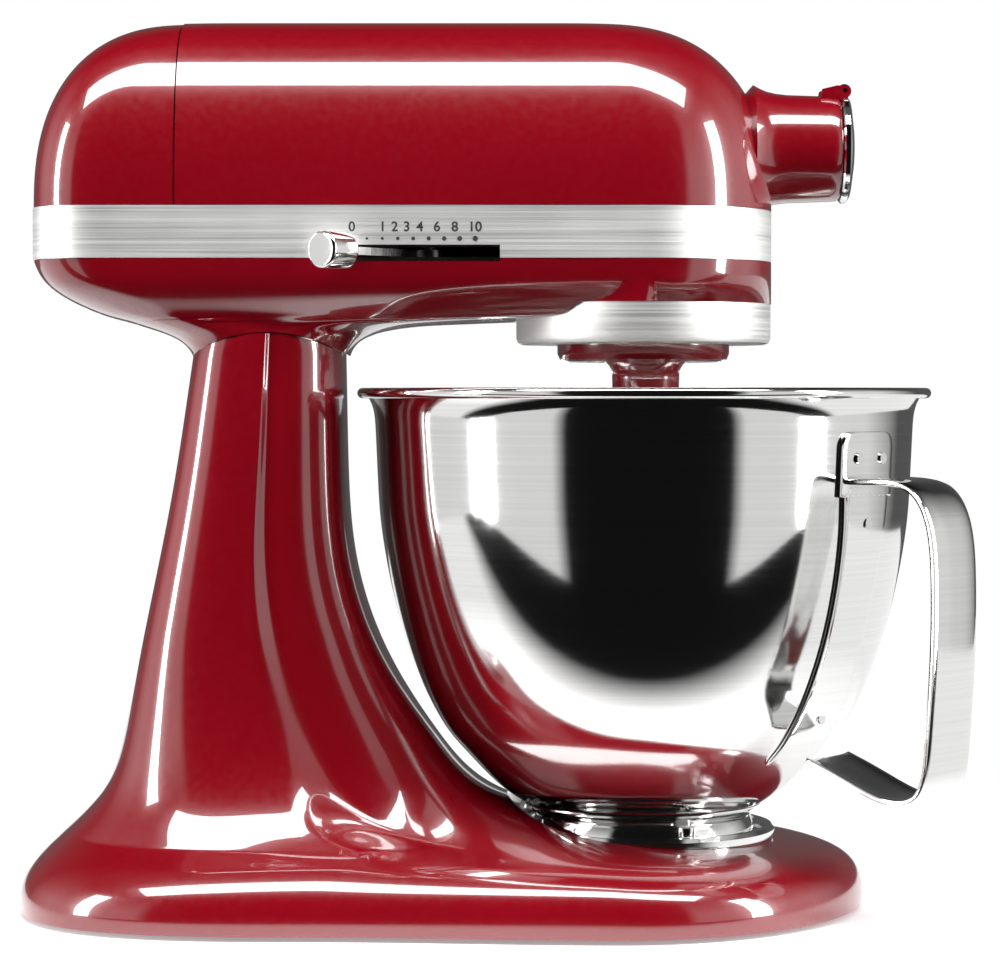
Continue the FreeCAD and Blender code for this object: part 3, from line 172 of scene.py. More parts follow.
def greys(low, high):
    return (low, low, low * 0.99), (high, high, high * 0.99)

finishes = {
    "red_enamel": redEnamel(),
    "polished_steel": roundBrushed("polishedSteel", greys(0.74, 0.82), 0.085, bowlCentre, 0.06, 700.0),
    "brushed_trim": brushedMetal("brushedTrim", greys(0.90, 0.98), 0.50, (6, 6, 1500), depth=0.2),
    "chrome": brushedMetal("chromePlate", greys(0.80, 0.86), 0.05, (40, 40, 40), depth=0.03),
    "machine_steel": brushedMetal("machineSteel", greys(0.42, 0.56), 0.28, (900, 900, 60), depth=0.15),
    "bronze": speckled("oiledBronze", (0.42, 0.25, 0.09), (0.56, 0.36, 0.15), (0.3, 0.42), 500.0, 0.2,
                       Metallic=1.0),
    "copper": speckled("windingCopper", (0.50, 0.20, 0.09), (0.66, 0.30, 0.15), (0.3, 0.5), 700.0, 0.4,
                       Metallic=1.0),
    "laminations": brushedMetal("laminations", greys(0.12, 0.26), 0.45, (1800, 20, 20), depth=0.5),
    "cast_aluminium": speckled("castAluminium", (0.48, 0.48, 0.48), (0.62, 0.62, 0.61), (0.42, 0.6), 600.0, 0.5,
                               Metallic=1.0),
    "coated_beater": speckled("beaterCoating", (0.74, 0.74, 0.72), (0.82, 0.82, 0.80), (0.28, 0.4), 500.0, 0.2,
                              Coat_Weight=0.3),
    "black_plastic": speckled("blackPlastic", (0.010, 0.010, 0.011), (0.020, 0.020, 0.021), (0.35, 0.5), 1200.0,
                              0.2),
    "circuit_board": speckled("circuitBoard", (0.01, 0.09, 0.03), (0.02, 0.15, 0.05), (0.3, 0.5), 300.0, 0.1),
    "black_rubber": speckled("blackRubber", (0.012, 0.012, 0.012), (0.03, 0.03, 0.03), (0.6, 0.8), 900.0, 0.4),
}
print("finishes:", len(finishes))

nodeSlots = {part["node"]: part["material_slot"] for part in frame["record"]["subparts"]}
for nodeName, nodeObject in frame["nodes"].items():
    nodeObject.data.materials.clear()
    nodeObject.data.materials.append(finishes[nodeSlots[nodeName]])

# mesh helpers
def meshObject(name, verts, faces, smoothAngle=32.0):
    mesh = bpy.data.meshes.new(name)
    mesh.from_pydata([tuple(float(c) * mm for c in v) for v in verts], [], faces)
    tidy = bmesh.new()
    tidy.from_mesh(mesh)
    bmesh.ops.remove_doubles(tidy, verts=tidy.verts, dist=0.000002)
    bmesh.ops.recalc_face_normals(tidy, faces=tidy.faces)
    tidy.to_mesh(mesh)
    tidy.free()
    piece = bpy.data.objects.new(name, mesh)
    bpy.context.scene.collection.objects.link(piece)
    softShade(mesh, smoothAngle)
    return piece

def softShade(mesh, angle):
    mesh.polygons.foreach_set("use_smooth", [True] * len(mesh.polygons))
    mesh.set_sharp_from_angle(angle=math.radians(angle))

def ringFaces(rows, count):
    faces = []
    for i in range(rows - 1):
        low, high = i * count, (i + 1) * count
        for j in range(count):
            k = (j + 1) % count
            faces.append((low + j, low + k, high + k, high + j))
    return faces

def stripCap(start, count):
    half = count // 2
    faces = []
    for j in range(half):
        corners = [start + j, start + j + 1, start + (count - j - 1) % count, start + (count - j) % count]
        faces.append(tuple(dict.fromkeys(corners)))
    return faces

def applied(piece, kind, **settings):
    change = piece.modifiers.new(kind.lower(), kind)
    for key, value in settings.items():
        setattr(change, key, value)
    graph = bpy.context.evaluated_depsgraph_get()
    changed = bpy.data.meshes.new_from_object(piece.evaluated_get(graph))
    piece.modifiers.clear()
    old = piece.data
    piece.data = changed
    changed.name = piece.name
    bpy.data.meshes.remove(old)
    return piece

def cutWith(piece, *cutters, operation="DIFFERENCE"):
    for cutter in cutters:
        applied(piece, "BOOLEAN", object=cutter, operation=operation, solver="EXACT")
        bpy.data.objects.remove(cutter)
    softShade(piece.data, 32.0)
    return piece

def blockObject(x0, x1, y0, y1, z0, z1):
    corners = [(x, y, z) for x in (x0, x1) for y in (y0, y1) for z in (z0, z1)]
    faces = [(0, 1, 3, 2), (4, 6, 7, 5), (0, 4, 5, 1), (2, 3, 7, 6), (0, 2, 6, 4), (1, 5, 7, 3)]
    return meshObject("cutter", corners, faces)

def spun(name, profile, centre, axis="z", steps=192, first=0.0, sweep=360.0, closed=True, smoothAngle=32.0):
    whole = abs(sweep - 360.0) < 0.01
    rows = steps if whole else steps + 1
    verts, faces = [], []
    for k in range(rows):
        angle = math.radians(first + sweep * k / steps)
        c, s = math.cos(angle), math.sin(angle)
        for r, h in profile:
            if axis == "z":
                verts.append((centre[0] + r * c, centre[1] + r * s, centre[2] + h))
            elif axis == "x":
                verts.append((centre[0] + h, centre[1] + r * c, centre[2] + r * s))
            else:
                verts.append((centre[0] + r * c, centre[1] + h, centre[2] + r * s))
    count = len(profile)
    for k in range(steps):
        low, high = k * count, ((k + 1) % rows) * count
        for j in range(count if closed else count - 1):
            i = (j + 1) % count
            faces.append((low + j, low + i, high + i, high + j))
    if not whole:
        faces += [tuple(range(count)), tuple(reversed(range((rows - 1) * count, rows * count)))]
    return meshObject(name, verts, faces, smoothAngle)

def smoothedTable(table, count, softening=0):
    points = np.array(table, float)
    t = np.concatenate([[0], np.cumsum(np.sqrt(np.linalg.norm(np.diff(points[:, :3], axis=0), axis=1)))])
    n = len(t)
    matrix, right = np.eye(n), np.zeros_like(points)
    for i in range(1, n - 1):
        before, after = t[i] - t[i - 1], t[i + 1] - t[i]
        matrix[i, i - 1:i + 2] = before, 2 * (before + after), after
        right[i] = 6 * ((points[i + 1] - points[i]) / after - (points[i] - points[i - 1]) / before)
    bend = np.linalg.solve(matrix, right)
    out = []
    for u in np.linspace(0, t[-1], count):
        i = min(int(np.searchsorted(t, u, side="right")) - 1, n - 2)
        h = t[i + 1] - t[i]
        a, b = (t[i + 1] - u) / h, (u - t[i]) / h
        curve = (a ** 3 - a) * bend[i] + (b ** 3 - b) * bend[i + 1]
        out.append(a * points[i] + b * points[i + 1] + curve * h * h / 6)
    rows = np.array(out)
    for _ in range(softening):
        rows[1:-1] = 0.25 * rows[:-2] + 0.5 * rows[1:-1] + 0.25 * rows[2:]
    return rows

def quarter(reach, half, bulge, count):
    u = np.linspace(0, 1, count + 1)
    p = bulge / 2
    g = u ** p / (u ** p + (1 - u) ** p) * math.pi / 2
    return reach * np.cos(g).clip(0) ** (2 / bulge), half * np.sin(g).clip(0) ** (2 / bulge)

def outline(rear, rearReach, rearHalf, rearBulge, front, frontReach, frontHalf, frontBulge, end=20, side=14):
    frontX, frontY = quarter(frontReach, frontHalf, frontBulge, end)
    rearX, rearY = quarter(rearReach, rearHalf, rearBulge, end)
    ahead = np.column_stack([front - frontReach + frontX, frontY])
    behind = np.column_stack([rear + rearReach - rearX, rearY])[::-1]
    s = np.linspace(0, 1, side + 1)[1:-1]
    ease = s * s * (3 - 2 * s)
    between = np.column_stack([ahead[-1, 0] + (behind[0, 0] - ahead[-1, 0]) * s,
                               ahead[-1, 1] + (behind[0, 1] - ahead[-1, 1]) * ease])
    half = np.vstack([ahead, between, behind])
    mirrored = half[1:-1][::-1] * (1, -1)
    return np.vstack([half, mirrored])

def stacked(levels, rings):
    return [[np.array([x, y, z]) for x, y in ring] for z, ring in zip(levels, rings)]

def rowsToMesh(name, rows, capStart=False, capEnd=False, smoothAngle=32.0):
    count = len(rows[0])
    verts = [v for row in rows for v in row]
    faces = ringFaces(len(rows), count)
    if capStart:
        faces += [tuple(reversed(face)) for face in stripCap(0, count)]
    if capEnd:
        faces += stripCap((len(rows) - 1) * count, count)
    return meshObject(name, verts, faces, smoothAngle)

def finished(piece, body, slotName, *nodes):
    piece.data.materials.clear()
    piece.data.materials.append(finishes[slotName])
    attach(piece, body)
    if nodes:
        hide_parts(*nodes)
    return piece

# base and pedestal
base = {
    "rear": 105.0, "rearBulge": 2.9, "frontBulge": 1.95, "rows": 150, "softening": 40,
    "swell": 0.9, "swellTop": 24.0,                          # gives back what the softening takes at the foot
    "squarer": 0.9, "squareFrom": 28.0, "squareOver": 70.0,  # flatter sides higher up
    "pivot": (-75.9, 150.6), "saddle": 51.0, "topFrom": 140.0, "topRows": 14,
    "seat": 48.4, "seatHigh": 40.0, "plateau": 23.5, "bowlX": 55.5,
    "lip": (0.955, 0.955, 1), "hollow": (0.99, 0.985, 1), "hollowHigh": 4.0, "edge": 0.9, "edgeAngle": 38.0,
    "slotRear": 25.0, "slotFront": 22.0, "slotHalf": 10.0, "slotLow": 12.0, "slotHigh": 60.0,
    "pocketIn": 48.1, "pocketOut": 60.0, "pocketWide": 4.8, "pocketY": 12.6, "pocketFirst": 75.0, "pocketSweep": 25.0,
    "sections": (    # height, rear end, front end, reach of the front's curve, half width behind, in front
        (1.5, -163.4, 132.6, 88, 87.0, 93.5), (6.5, -164.4, 133.6, 89, 88.0, 94.5),
        (11.5, -163.2, 133.0, 89, 87.2, 94.0), (15.5, -160.6, 131.0, 88, 85.4, 92.4),
        (19.0, -157.4, 126.5, 87, 82.6, 89.0), (21.5, -155.0, 118.0, 85, 79.8, 84.0),
        (23.4, -153.0, 103.0, 82, 77.2, 77.0), (25.2, -151.0, 82.0, 76, 74.6, 69.5),
        (28.0, -148.0, 56.0, 68, 71.0, 61.5), (31.5, -144.2, 30.0, 58, 67.2, 56.5),
        (37.0, -138.8, 9.0, 49, 62.4, 52.5), (46.0, -132.0, -6.5, 42, 56.8, 49.4),
        (58.0, -128.4, -16.0, 38, 52.4, 47.2), (75.0, -124.8, -28.2, 34, 48.5, 44.8),
        (98.0, -120.2, -40.2, 31, 45.0, 42.0), (125.0, -114.6, -47.6, 28, 42.2, 39.8),
        (152.0, -109.4, -49.5, 26, 40.2, 38.4), (180.0, -105.2, -50.0, 25, 38.7, 37.2),
        (208.0, -101.0, -50.5, 24, 38.0, 36.5),
    ),
}

def baseRings(s):
    table = smoothedTable(s["sections"], s["rows"], s["softening"])
    rings = []
    for z, rear, front, reach, halfBehind, halfFront in table:
        swell = s["swell"] * max(0.0, 1 - z / s["swellTop"])
        rear, front, halfBehind, halfFront = rear - swell, front + swell, halfBehind + swell, halfFront + swell
        length = front - rear
        square = s["squarer"] * min(max((z - s["squareFrom"]) / s["squareOver"], 0.0), 1.0)
        rings.append(outline(rear, min(s["rear"], 0.5 * length), halfBehind, s["rearBulge"] + square,
                             front, min(reach, 0.5 * length), halfFront, s["frontBulge"] + square, 26, 18))
    return table[:, 0], rings

def makeBase(s):
    levels, rings = baseRings(s)
    rows = stacked(levels, rings)
    fixed = int(np.searchsorted(levels, s["topFrom"]))
    rows = pedestalTop(rows, s, fixed)
    under = [np.array(p) * s["lip"] for p in rows[0]]   # the underside's lip, then its hollow
    sunk = [p * s["hollow"] + (0, 0, s["hollowHigh"]) for p in under]
    skin = rowsToMesh("baseAndPedestal", [sunk, under] + rows, capStart=True, capEnd=True)
    applied(skin, "BEVEL", width=s["edge"] * mm, segments=3, limit_method="ANGLE",
            angle_limit=math.radians(s["edgeAngle"]))
    seatProfile = [(0, 0), (s["seat"], 0), (s["seat"], s["seatHigh"]), (0, s["seatHigh"])]
    seat = spun("cutter", seatProfile, (s["bowlX"], 0, s["plateau"]), steps=160, closed=False)
    px, pz = s["pivot"]
    slot = blockObject(px - s["slotRear"], px + s["slotFront"], -s["slotHalf"], s["slotHalf"],
                       pz - s["slotLow"], pz + s["slotHigh"])
    return cutWith(skin, seat, slot, lockPocket(s))

def pedestalTop(rows, s, fixed):
    stack = np.array(rows)
    px, pz = s["pivot"]
    above = stack[:, :, 2] - pz - np.sqrt(np.maximum(s["saddle"] ** 2 - (stack[:, :, 0] - px) ** 2, 0))
    result = [list(stack[i]) for i in range(fixed)]
    columns = []
    for j in range(stack.shape[1]):
        last = fixed - 1
        while last + 2 < len(stack) and above[last + 1, j] < 0:
            last += 1
        share = above[last, j] / (above[last, j] - above[last + 1, j])
        places = np.linspace(fixed - 1, last + share, s["topRows"] + 1)[1:]
        low = np.minimum(places.astype(int), len(stack) - 2)
        part = (places - low)[:, None]
        columns.append(stack[low, j] * (1 - part) + stack[low + 1, j] * part)
    for k in range(s["topRows"]):
        result.append([column[k] for column in columns])
    return result

def lockPocket(s):
    px, pz = s["pivot"]
    near, far, wide = s["pocketIn"], s["pocketOut"], s["pocketWide"]
    return spun("cutter", [(near, 0), (far, 0), (far, wide), (near, wide)], (px, s["pocketY"], pz), axis="y",
                steps=12, first=s["pocketFirst"], sweep=s["pocketSweep"])

finished(makeBase(base), "base", "red_enamel", "base_casting", "pedestal_casting")
print("base and pedestal built")

# head
head = {
    "rear": -159.1, "half": 46.0, "reach": 45.3, "bowlX": 55.5, "bandHigh": 245.3, "crown": 311.6,
    "cornerReach": 30.0, "cornerBulge": 3.2, "seam": -106.4, "seamGap": 0.5, "coverStep": 0.35, "wall": 3.0,
    "dome": 2.4, "rearDraw": 54.0, "noseDraw": 62.0, "lastAngle": 88.65,
    "hubZ": 267.5, "hubFront": 124.6, "hubTip": 18.4, "hubInside": 17.9, "bore": 12.8, "boreRear": 84.0,
    "hole": 16.0, "holeFrom": 80.0, "holeLong": 60.0,
    "earHalf": 3.6, "earWide": 3.0, "earRound": 2.1, "screwZ": 263.5, "screwRecess": 5.5,
}

def topSkin(s, inset, rows=46):
    levels, rings = [], []
    height = s["crown"] - s["bandHigh"] - inset
    for k in range(rows + 1):
        a = math.radians(s["lastAngle"] * (1 - (1 - k / rows) ** 1.25))
        fall = 1 - math.cos(a) ** (2 / s["dome"])
        levels.append(s["bandHigh"] + height * math.sin(a) ** (2 / s["dome"]))
        rings.append(outline(s["rear"] + inset + s["rearDraw"] * fall, s["cornerReach"],
                             (s["half"] - inset) * (1 - fall), s["cornerBulge"] - 0.9 * fall,
                             s["bowlX"] + s["reach"] - inset - s["noseDraw"] * fall,
                             (s["reach"] - inset) * (1 - 0.55 * fall), (s["half"] - inset) * (1 - fall),
                             2 + 0.3 * fall, 24, 40))
    return rowsToMesh("headTop", stacked(levels, rings), capEnd=True, smoothAngle=60)

def halved(piece, x, keepFront):
    work = bmesh.new()
    work.from_mesh(piece.data)
    bmesh.ops.bisect_plane(work, geom=work.verts[:] + work.edges[:] + work.faces[:], plane_co=(x * mm, 0, 0),
                           plane_no=(1, 0, 0), clear_inner=keepFront, clear_outer=not keepFront)
    work.to_mesh(piece.data)
    work.free()
    return piece

def joined(name, *parts):
    work = bmesh.new()
    for part in parts:
        work.from_mesh(part.data)
    mesh = bpy.data.meshes.new(name)
    work.to_mesh(mesh)
    work.free()
    for part in parts:
        bpy.data.objects.remove(part)
    piece = bpy.data.objects.new(name, mesh)
    bpy.context.scene.collection.objects.link(piece)
    softShade(mesh, 32)
    return piece

def makeHousing(s):
    shell = halved(topSkin(s, 0), s["seam"], True)
    applied(shell, "SOLIDIFY", thickness=s["wall"] * mm, offset=-1, use_even_offset=False)
    holeProfile = [(0, 0), (s["hole"], 0), (s["hole"], s["holeLong"]), (0, s["holeLong"])]
    hole = spun("cutter", holeProfile, (s["holeFrom"], 0, s["hubZ"]), axis="x", steps=96, closed=False)
    cutWith(shell, hole)
    front = s["hubFront"]
    flare = [(s["hubInside"], 90.0), (22.6, 94.2), (21.3, 96.6), (20.3, 99.0), (19.6, 102.0), (19.1, 106.0)]
    tip = [(18.6, front - 4.0), (s["hubTip"], front - 0.9), (s["hubTip"] - 0.6, front)]
    mouth = [(s["bore"] + 0.8, front), (s["bore"], front - 0.8)]
    profile = [(s["bore"], s["boreRear"]), (s["hubInside"], s["boreRear"])] + flare + tip + mouth
    boss = spun("boss", profile, (0, 0, s["hubZ"]), axis="x", steps=128)
    ears = [hubEar(s, side) for side in (-1, 1)]
    return joined("motorHousing", shell, boss, *ears)

def hubEar(s, side):
    y = s["earHalf"] if side > 0 else -s["earHalf"] - s["earWide"]
    x, z, r = s["hubFront"] + 1.8, s["hubZ"] + s["hubTip"] + 1.5, s["earRound"]
    angles = [math.radians(a) for a in range(-90, 91, 12)]
    points = [(x + r * math.cos(a), z + r * math.sin(a)) for a in angles]
    points += [(x - 3.0, z + r), (x - 8.0, z + 0.9), (x - 9.0, z - 3.4), (x - 3.0, z - 3.4)]
    count = len(points)
    verts = [(px, y, pz) for px, pz in points] + [(px, y + s["earWide"], pz) for px, pz in points]
    faces = [tuple(range(count)), tuple(range(2 * count - 1, count - 1, -1))]
    faces += [(k, (k + 1) % count, count + (k + 1) % count, count + k) for k in range(count)]
    return meshObject("ear", verts, faces)

def makeEndCover(s):
    shell = halved(topSkin(s, s["coverStep"]), s["seam"] - s["seamGap"], False)
    applied(shell, "SOLIDIFY", thickness=(s["wall"] - s["coverStep"]) * mm, offset=-1)
    place = (s["rear"], 0, s["screwZ"])
    r = s["screwRecess"]
    recess = spun("cutter", [(0, -2), (r, -2), (r, 5), (0, 5)], place, axis="x", steps=48, closed=False)
    cutWith(shell, recess)
    cupProfile = [(1.9, 5.0), (1.9, 2.5), (r, 2.5), (r, 0.6), (r + 1.5, 0.9), (r + 1.5, 5.0)]
    cup = spun("cup", cupProfile, place, axis="x", steps=48)
    return joined("endCover", shell, cup)

finished(makeHousing(head), "head", "red_enamel", "motor_housing", "hub_barrel")
finished(makeEndCover(head), "head", "red_enamel", "end_cover")
print("head top built")

# lower head, over the shape of the casting
pan = {
    "rows": 150, "softening": 8, "drum": 45.3, "drumLow": 212.4, "rearBulge": 2.8, "frontBulge": 2.1, "most": 0.48,
    "sections": (
        (190.0, -103.0, -48.8, 26, 24, 37.6, 37.6), (195.0, -104.2, -48.4, 26, 24, 37.8, 37.6),
        (199.5, -108.6, -45.0, 28, 26, 38.2, 37.4), (203.0, -117.0, -36.0, 30, 32, 38.6, 36.6),
        (205.6, -125.4, -8.0, 31, 40, 38.8, 35.6), (207.2, -131.4, 36.0, 31, 42, 39.0, 35.4),
        (208.8, -136.4, 70.0, 31, 42, 39.6, 36.6), (211.4, -142.6, 88.0, 31, 43, 41.2, 39.4),
        (215.4, -150.0, 96.4, 30, 44, 43.6, 42.8), (220.0, -155.4, 99.2, 30, 44.6, 45.2, 44.8),
        (227.0, -159.1, 100.2, 30, 44.8, 46.0, 46.0),
    ),
}

def panSkin(s):
    table = smoothedTable(s["sections"], s["rows"], s["softening"])
    rings = []
    for z, rear, front, rearReach, frontReach, half, halfFront in table:
        length = front - rear
        ring = outline(rear, min(rearReach, s["most"] * length), half, s["rearBulge"],
                       front, min(frontReach, s["most"] * length), halfFront, s["frontBulge"], 24, 30)
        if z > s["drumLow"]:
            away = ring - (head["bowlX"], 0)
            reach = np.hypot(away[:, 0], away[:, 1])
            short = (away[:, 0] > 0) & (reach < s["drum"])
            ring[short] = (away * (s["drum"] / np.maximum(reach, 1))[:, None] + (head["bowlX"], 0))[short]
        rings.append(ring)
    return rowsToMesh("panSkin", stacked(table[:, 0], rings), smoothAngle=180)

def smoothCopy(name, node, angle=34.0, guide=None, near=0.5):
    mesh = frame["nodes"][node].data.copy()
    piece = bpy.data.objects.new(name, mesh)
    bpy.context.scene.collection.objects.link(piece)
    if mesh.has_custom_normals:
        mesh.attributes.remove(mesh.attributes["custom_normal"])
    work = bmesh.new()
    work.from_mesh(mesh)
    bmesh.ops.remove_doubles(work, verts=work.verts, dist=0.000005)
    work.to_mesh(mesh)
    work.free()
    softShade(mesh, angle)
    if guide:
        applied(piece, "DATA_TRANSFER", object=guide, use_loop_data=True, data_types_loops={"CUSTOM_NORMAL"},
                loop_mapping="POLYINTERP_NEAREST", use_max_distance=True, max_distance=near * mm)
        bpy.data.objects.remove(guide)
    return piece

finished(smoothCopy("gearCase", "gear_case", 40.0, panSkin(pan)), "head", "red_enamel", "gear_case")
for newName, node, body, slotName in (
        ("trimBand", "trim_band", "head", "brushed_trim"),
        ("dripRing", "drip_ring", "head", "brushed_trim"),
        ("planetaryHub", "planetary_hub", "planetary", "red_enamel"),
        ("speedKnob", "speed_knob", "speed_lever", "chrome"),
        ("speedLeverArm", "speed_lever_arm", "speed_lever", "machine_steel"),
        ("hubCap", "hub_cover", "hub_cover", "chrome"),
        ("clampPlate", "bowl_clamp_plate", "base", "polished_steel"),
        ("bowlFoot", "bowl_foot_ring", "bowl", "polished_steel"),
        ("lockKnob", "lock_knob", "lock_lever", "chrome"),
        ("attachmentKnob", "attachment_knob", "attachment_knob", "black_plastic"),
        ("agitatorShaft", "agitator_shaft", "agitator", "machine_steel"),
        ("rubberFeet", "rubber_feet", "base", "black_rubber")):
    finished(smoothCopy(newName, node), body, slotName, node)
print("lower head and small parts built")

# bowl
bowl = {
    "x": 55.5, "wall": 1.3, "floor": 34.0, "rimCentre": 99.75, "rimTube": 1.84, "rimZ": 181.0,
    "rows": 90, "steps": 224,
    "profile": ((40.0, 34.6), (50.0, 41.0), (59.5, 50.0), (68.1, 59.5), (71.9, 65.0), (77.3, 75.0), (81.8, 86.0),
                (85.4, 97.0), (88.2, 107.5), (90.5, 118.0), (92.4, 129.0), (93.7, 140.0), (94.5, 155.0), (95.1, 168.0),
                (96.0, 176.0), (98.2, 180.4)),
}

def bowlWall(s, inset=0.0, rows=None):
    table = smoothedTable([(r, z, 0) for r, z in s["profile"]], rows or s["rows"], 3)[:, :2]
    slope = np.gradient(table, axis=0)
    normal = np.column_stack([slope[:, 1], -slope[:, 0]]) / np.hypot(slope[:, 0], slope[:, 1])[:, None]
    return table - normal * inset

def makeBowl(s):
    outer, inner = bowlWall(s), bowlWall(s, s["wall"])
    floor, wall = s["floor"], s["wall"]
    top = outer[-1]
    tube = []
    start = math.degrees(math.atan2(top[1] - s["rimZ"], top[0] - s["rimCentre"]))
    for a in np.linspace(start, start + 330, 22)[1:-1]:
        turn = math.radians(a)
        tube.append((s["rimCentre"] + s["rimTube"] * math.cos(turn), s["rimZ"] + s["rimTube"] * math.sin(turn)))
    profile = [(0.0, floor - wall), (30.0, floor - wall), (36.0, floor - wall + 0.3)]
    profile += [tuple(p) for p in outer] + tube
    profile += [tuple(p) for p in inner[::-1]][2:] + [(34.0, floor + 0.15), (28.0, floor), (0.0, floor)]
    return spun("bowl", profile, (s["x"], 0, 0), steps=s["steps"], closed=False, smoothAngle=50)

finished(makeBowl(bowl), "bowl", "polished_steel", "bowl_shell")

handle = {
    "turn": -40.0, "half": 13.0, "thick": 1.8, "crown": 0.9, "lift": 0.05, "across": 11,
    "tabHalf": 15.0, "tabLow": 146.0, "tabHigh": 168.0, "tabCorner": 5.5, "backLow": 54.0, "backHigh": 150.0, "waist": 2.2,
    "path": ((79.0, 57.2), (92.0, 52.2), (106.0, 46.6), (115.0, 45.2), (121.6, 47.2), (125.2, 53.0), (127.0, 68.0),
             (128.6, 92.0), (129.0, 118.0), (127.4, 136.0), (123.6, 145.2), (119.0, 149.4), (112.0, 151.0), (95.4, 151.2)),
}

def strapRows(points, halfWidth, thick, crown):
    points = np.array(points)
    slope = np.gradient(points, axis=0)
    normal = np.column_stack([slope[:, 1], -slope[:, 0]]) / np.hypot(slope[:, 0], slope[:, 1])[:, None]
    section = []
    for y in np.linspace(-1, 1, 13):
        section.append((y * halfWidth, -crown * y ** 4))
    outside = [(y, thick + lift) for y, lift in section]
    inside = [(y * 0.985, lift) for y, lift in section[::-1]]
    loop = outside + inside
    rows = []
    for p, n in zip(points, normal):
        rows.append([(p[0] + n[0] * lift, y, p[1] + n[1] * lift) for y, lift in loop])
    return rows

def roundBowl(rows, turn):
    c, sn = math.cos(math.radians(turn)), math.sin(math.radians(turn))
    return [(bowl["x"] + x * c - y * sn, x * sn + y * c, z) for row in rows for x, y, z in row]

def ribbon(name, rows, turn):
    count = len(rows[0])
    firstEnd, lastEnd = tuple(reversed(range(count))), tuple(range((len(rows) - 1) * count, len(rows) * count))
    faces = ringFaces(len(rows), count) + [firstEnd, lastEnd]
    piece = meshObject(name, roundBowl(rows, turn), faces, 40)
    return applied(piece, "BEVEL", width=0.0004, segments=2, limit_method="ANGLE", angle_limit=math.radians(50))

def hugging(rows):
    wall = bowlWall(bowl, 0.0, 200)
    out = []
    for row in rows:
        line = []
        for x, y, z in row:
            radius = np.interp(z, wall[:, 1], wall[:, 0])
            line.append((math.sqrt(max((radius + x) ** 2 - y * y, 1)), y, z))
        out.append(line)
    return out

def makeHandle(s):
    grip = smoothedTable([(r, z, 0) for r, z in s["path"]], 90, 3)[:, :2]
    loop = strapRows(grip, s["half"], s["thick"], s["crown"])
    grips = ribbon("grip", loop, s["turn"])
    lift, thick, corner = s["lift"], s["thick"], s["tabCorner"]
    tabRows = []
    for z in np.linspace(s["tabLow"], s["tabHigh"], 24):
        past = max(0.0, z - (s["tabHigh"] - corner))
        half = s["tabHalf"] - (corner - math.sqrt(max(corner ** 2 - past ** 2, 0)))
        ys = np.linspace(-half, half, s["across"])
        tabRows.append([(lift, y, z) for y in ys] + [(thick, y, z) for y in ys[::-1]])
    backRows = []
    for z in np.linspace(s["backLow"], s["backHigh"], 60):
        along = (z - s["backLow"]) / (s["backHigh"] - s["backLow"])
        spread = s["half"] - s["waist"] * math.sin(math.pi * along)
        ys = np.linspace(-spread, spread, s["across"])
        backRows.append([(lift, y, z) for y in ys] + [(thick, y, z) for y in ys[::-1]])
    upper = ribbon("tab", hugging(tabRows), s["turn"])
    back = ribbon("back", hugging(backRows), s["turn"])
    return joined("bowlHandle", grips, upper, back)

finished(makeHandle(handle), "bowl", "polished_steel", "bowl_handle")
print("bowl and handle built")

# dial and weld marks
dial = {
    "face": -46.0, "ink": 0.16, "bold": 0.09, "textZ": 236.2, "dotZ": 233.7, "height": 3.3,
    "marks": (("0", -45.9), ("1", -35.4), ("2", -31.3), ("3", -27.2),
              ("4", -22.7), ("6", -16.9), ("8", -10.8), ("10", -3.9)),
    "dots": {"first": -40.8, "step": 5.28, "count": 8, "small": 0.46, "growth": 0.13},
}

def numberMesh(text, x, s):
    curve = bpy.data.curves.new("figure", "FONT")
    curve.body = text
    curve.size = s["height"] * 1.42 * mm
    curve.align_x = "CENTER"
    curve.extrude = s["ink"] * mm / 2
    curve.offset = s["bold"] * mm
    letter = bpy.data.objects.new("figure", curve)
    bpy.context.scene.collection.objects.link(letter)
    graph = bpy.context.evaluated_depsgraph_get()
    mesh = bpy.data.meshes.new_from_object(letter.evaluated_get(graph))
    bpy.data.objects.remove(letter)
    place = Matrix.Translation((x * mm, s["face"] * mm, s["textZ"] * mm))
    mesh.transform(place @ Matrix.Rotation(math.pi / 2, 4, "X"))
    piece = bpy.data.objects.new("figure", mesh)
    bpy.context.scene.collection.objects.link(piece)
    return piece

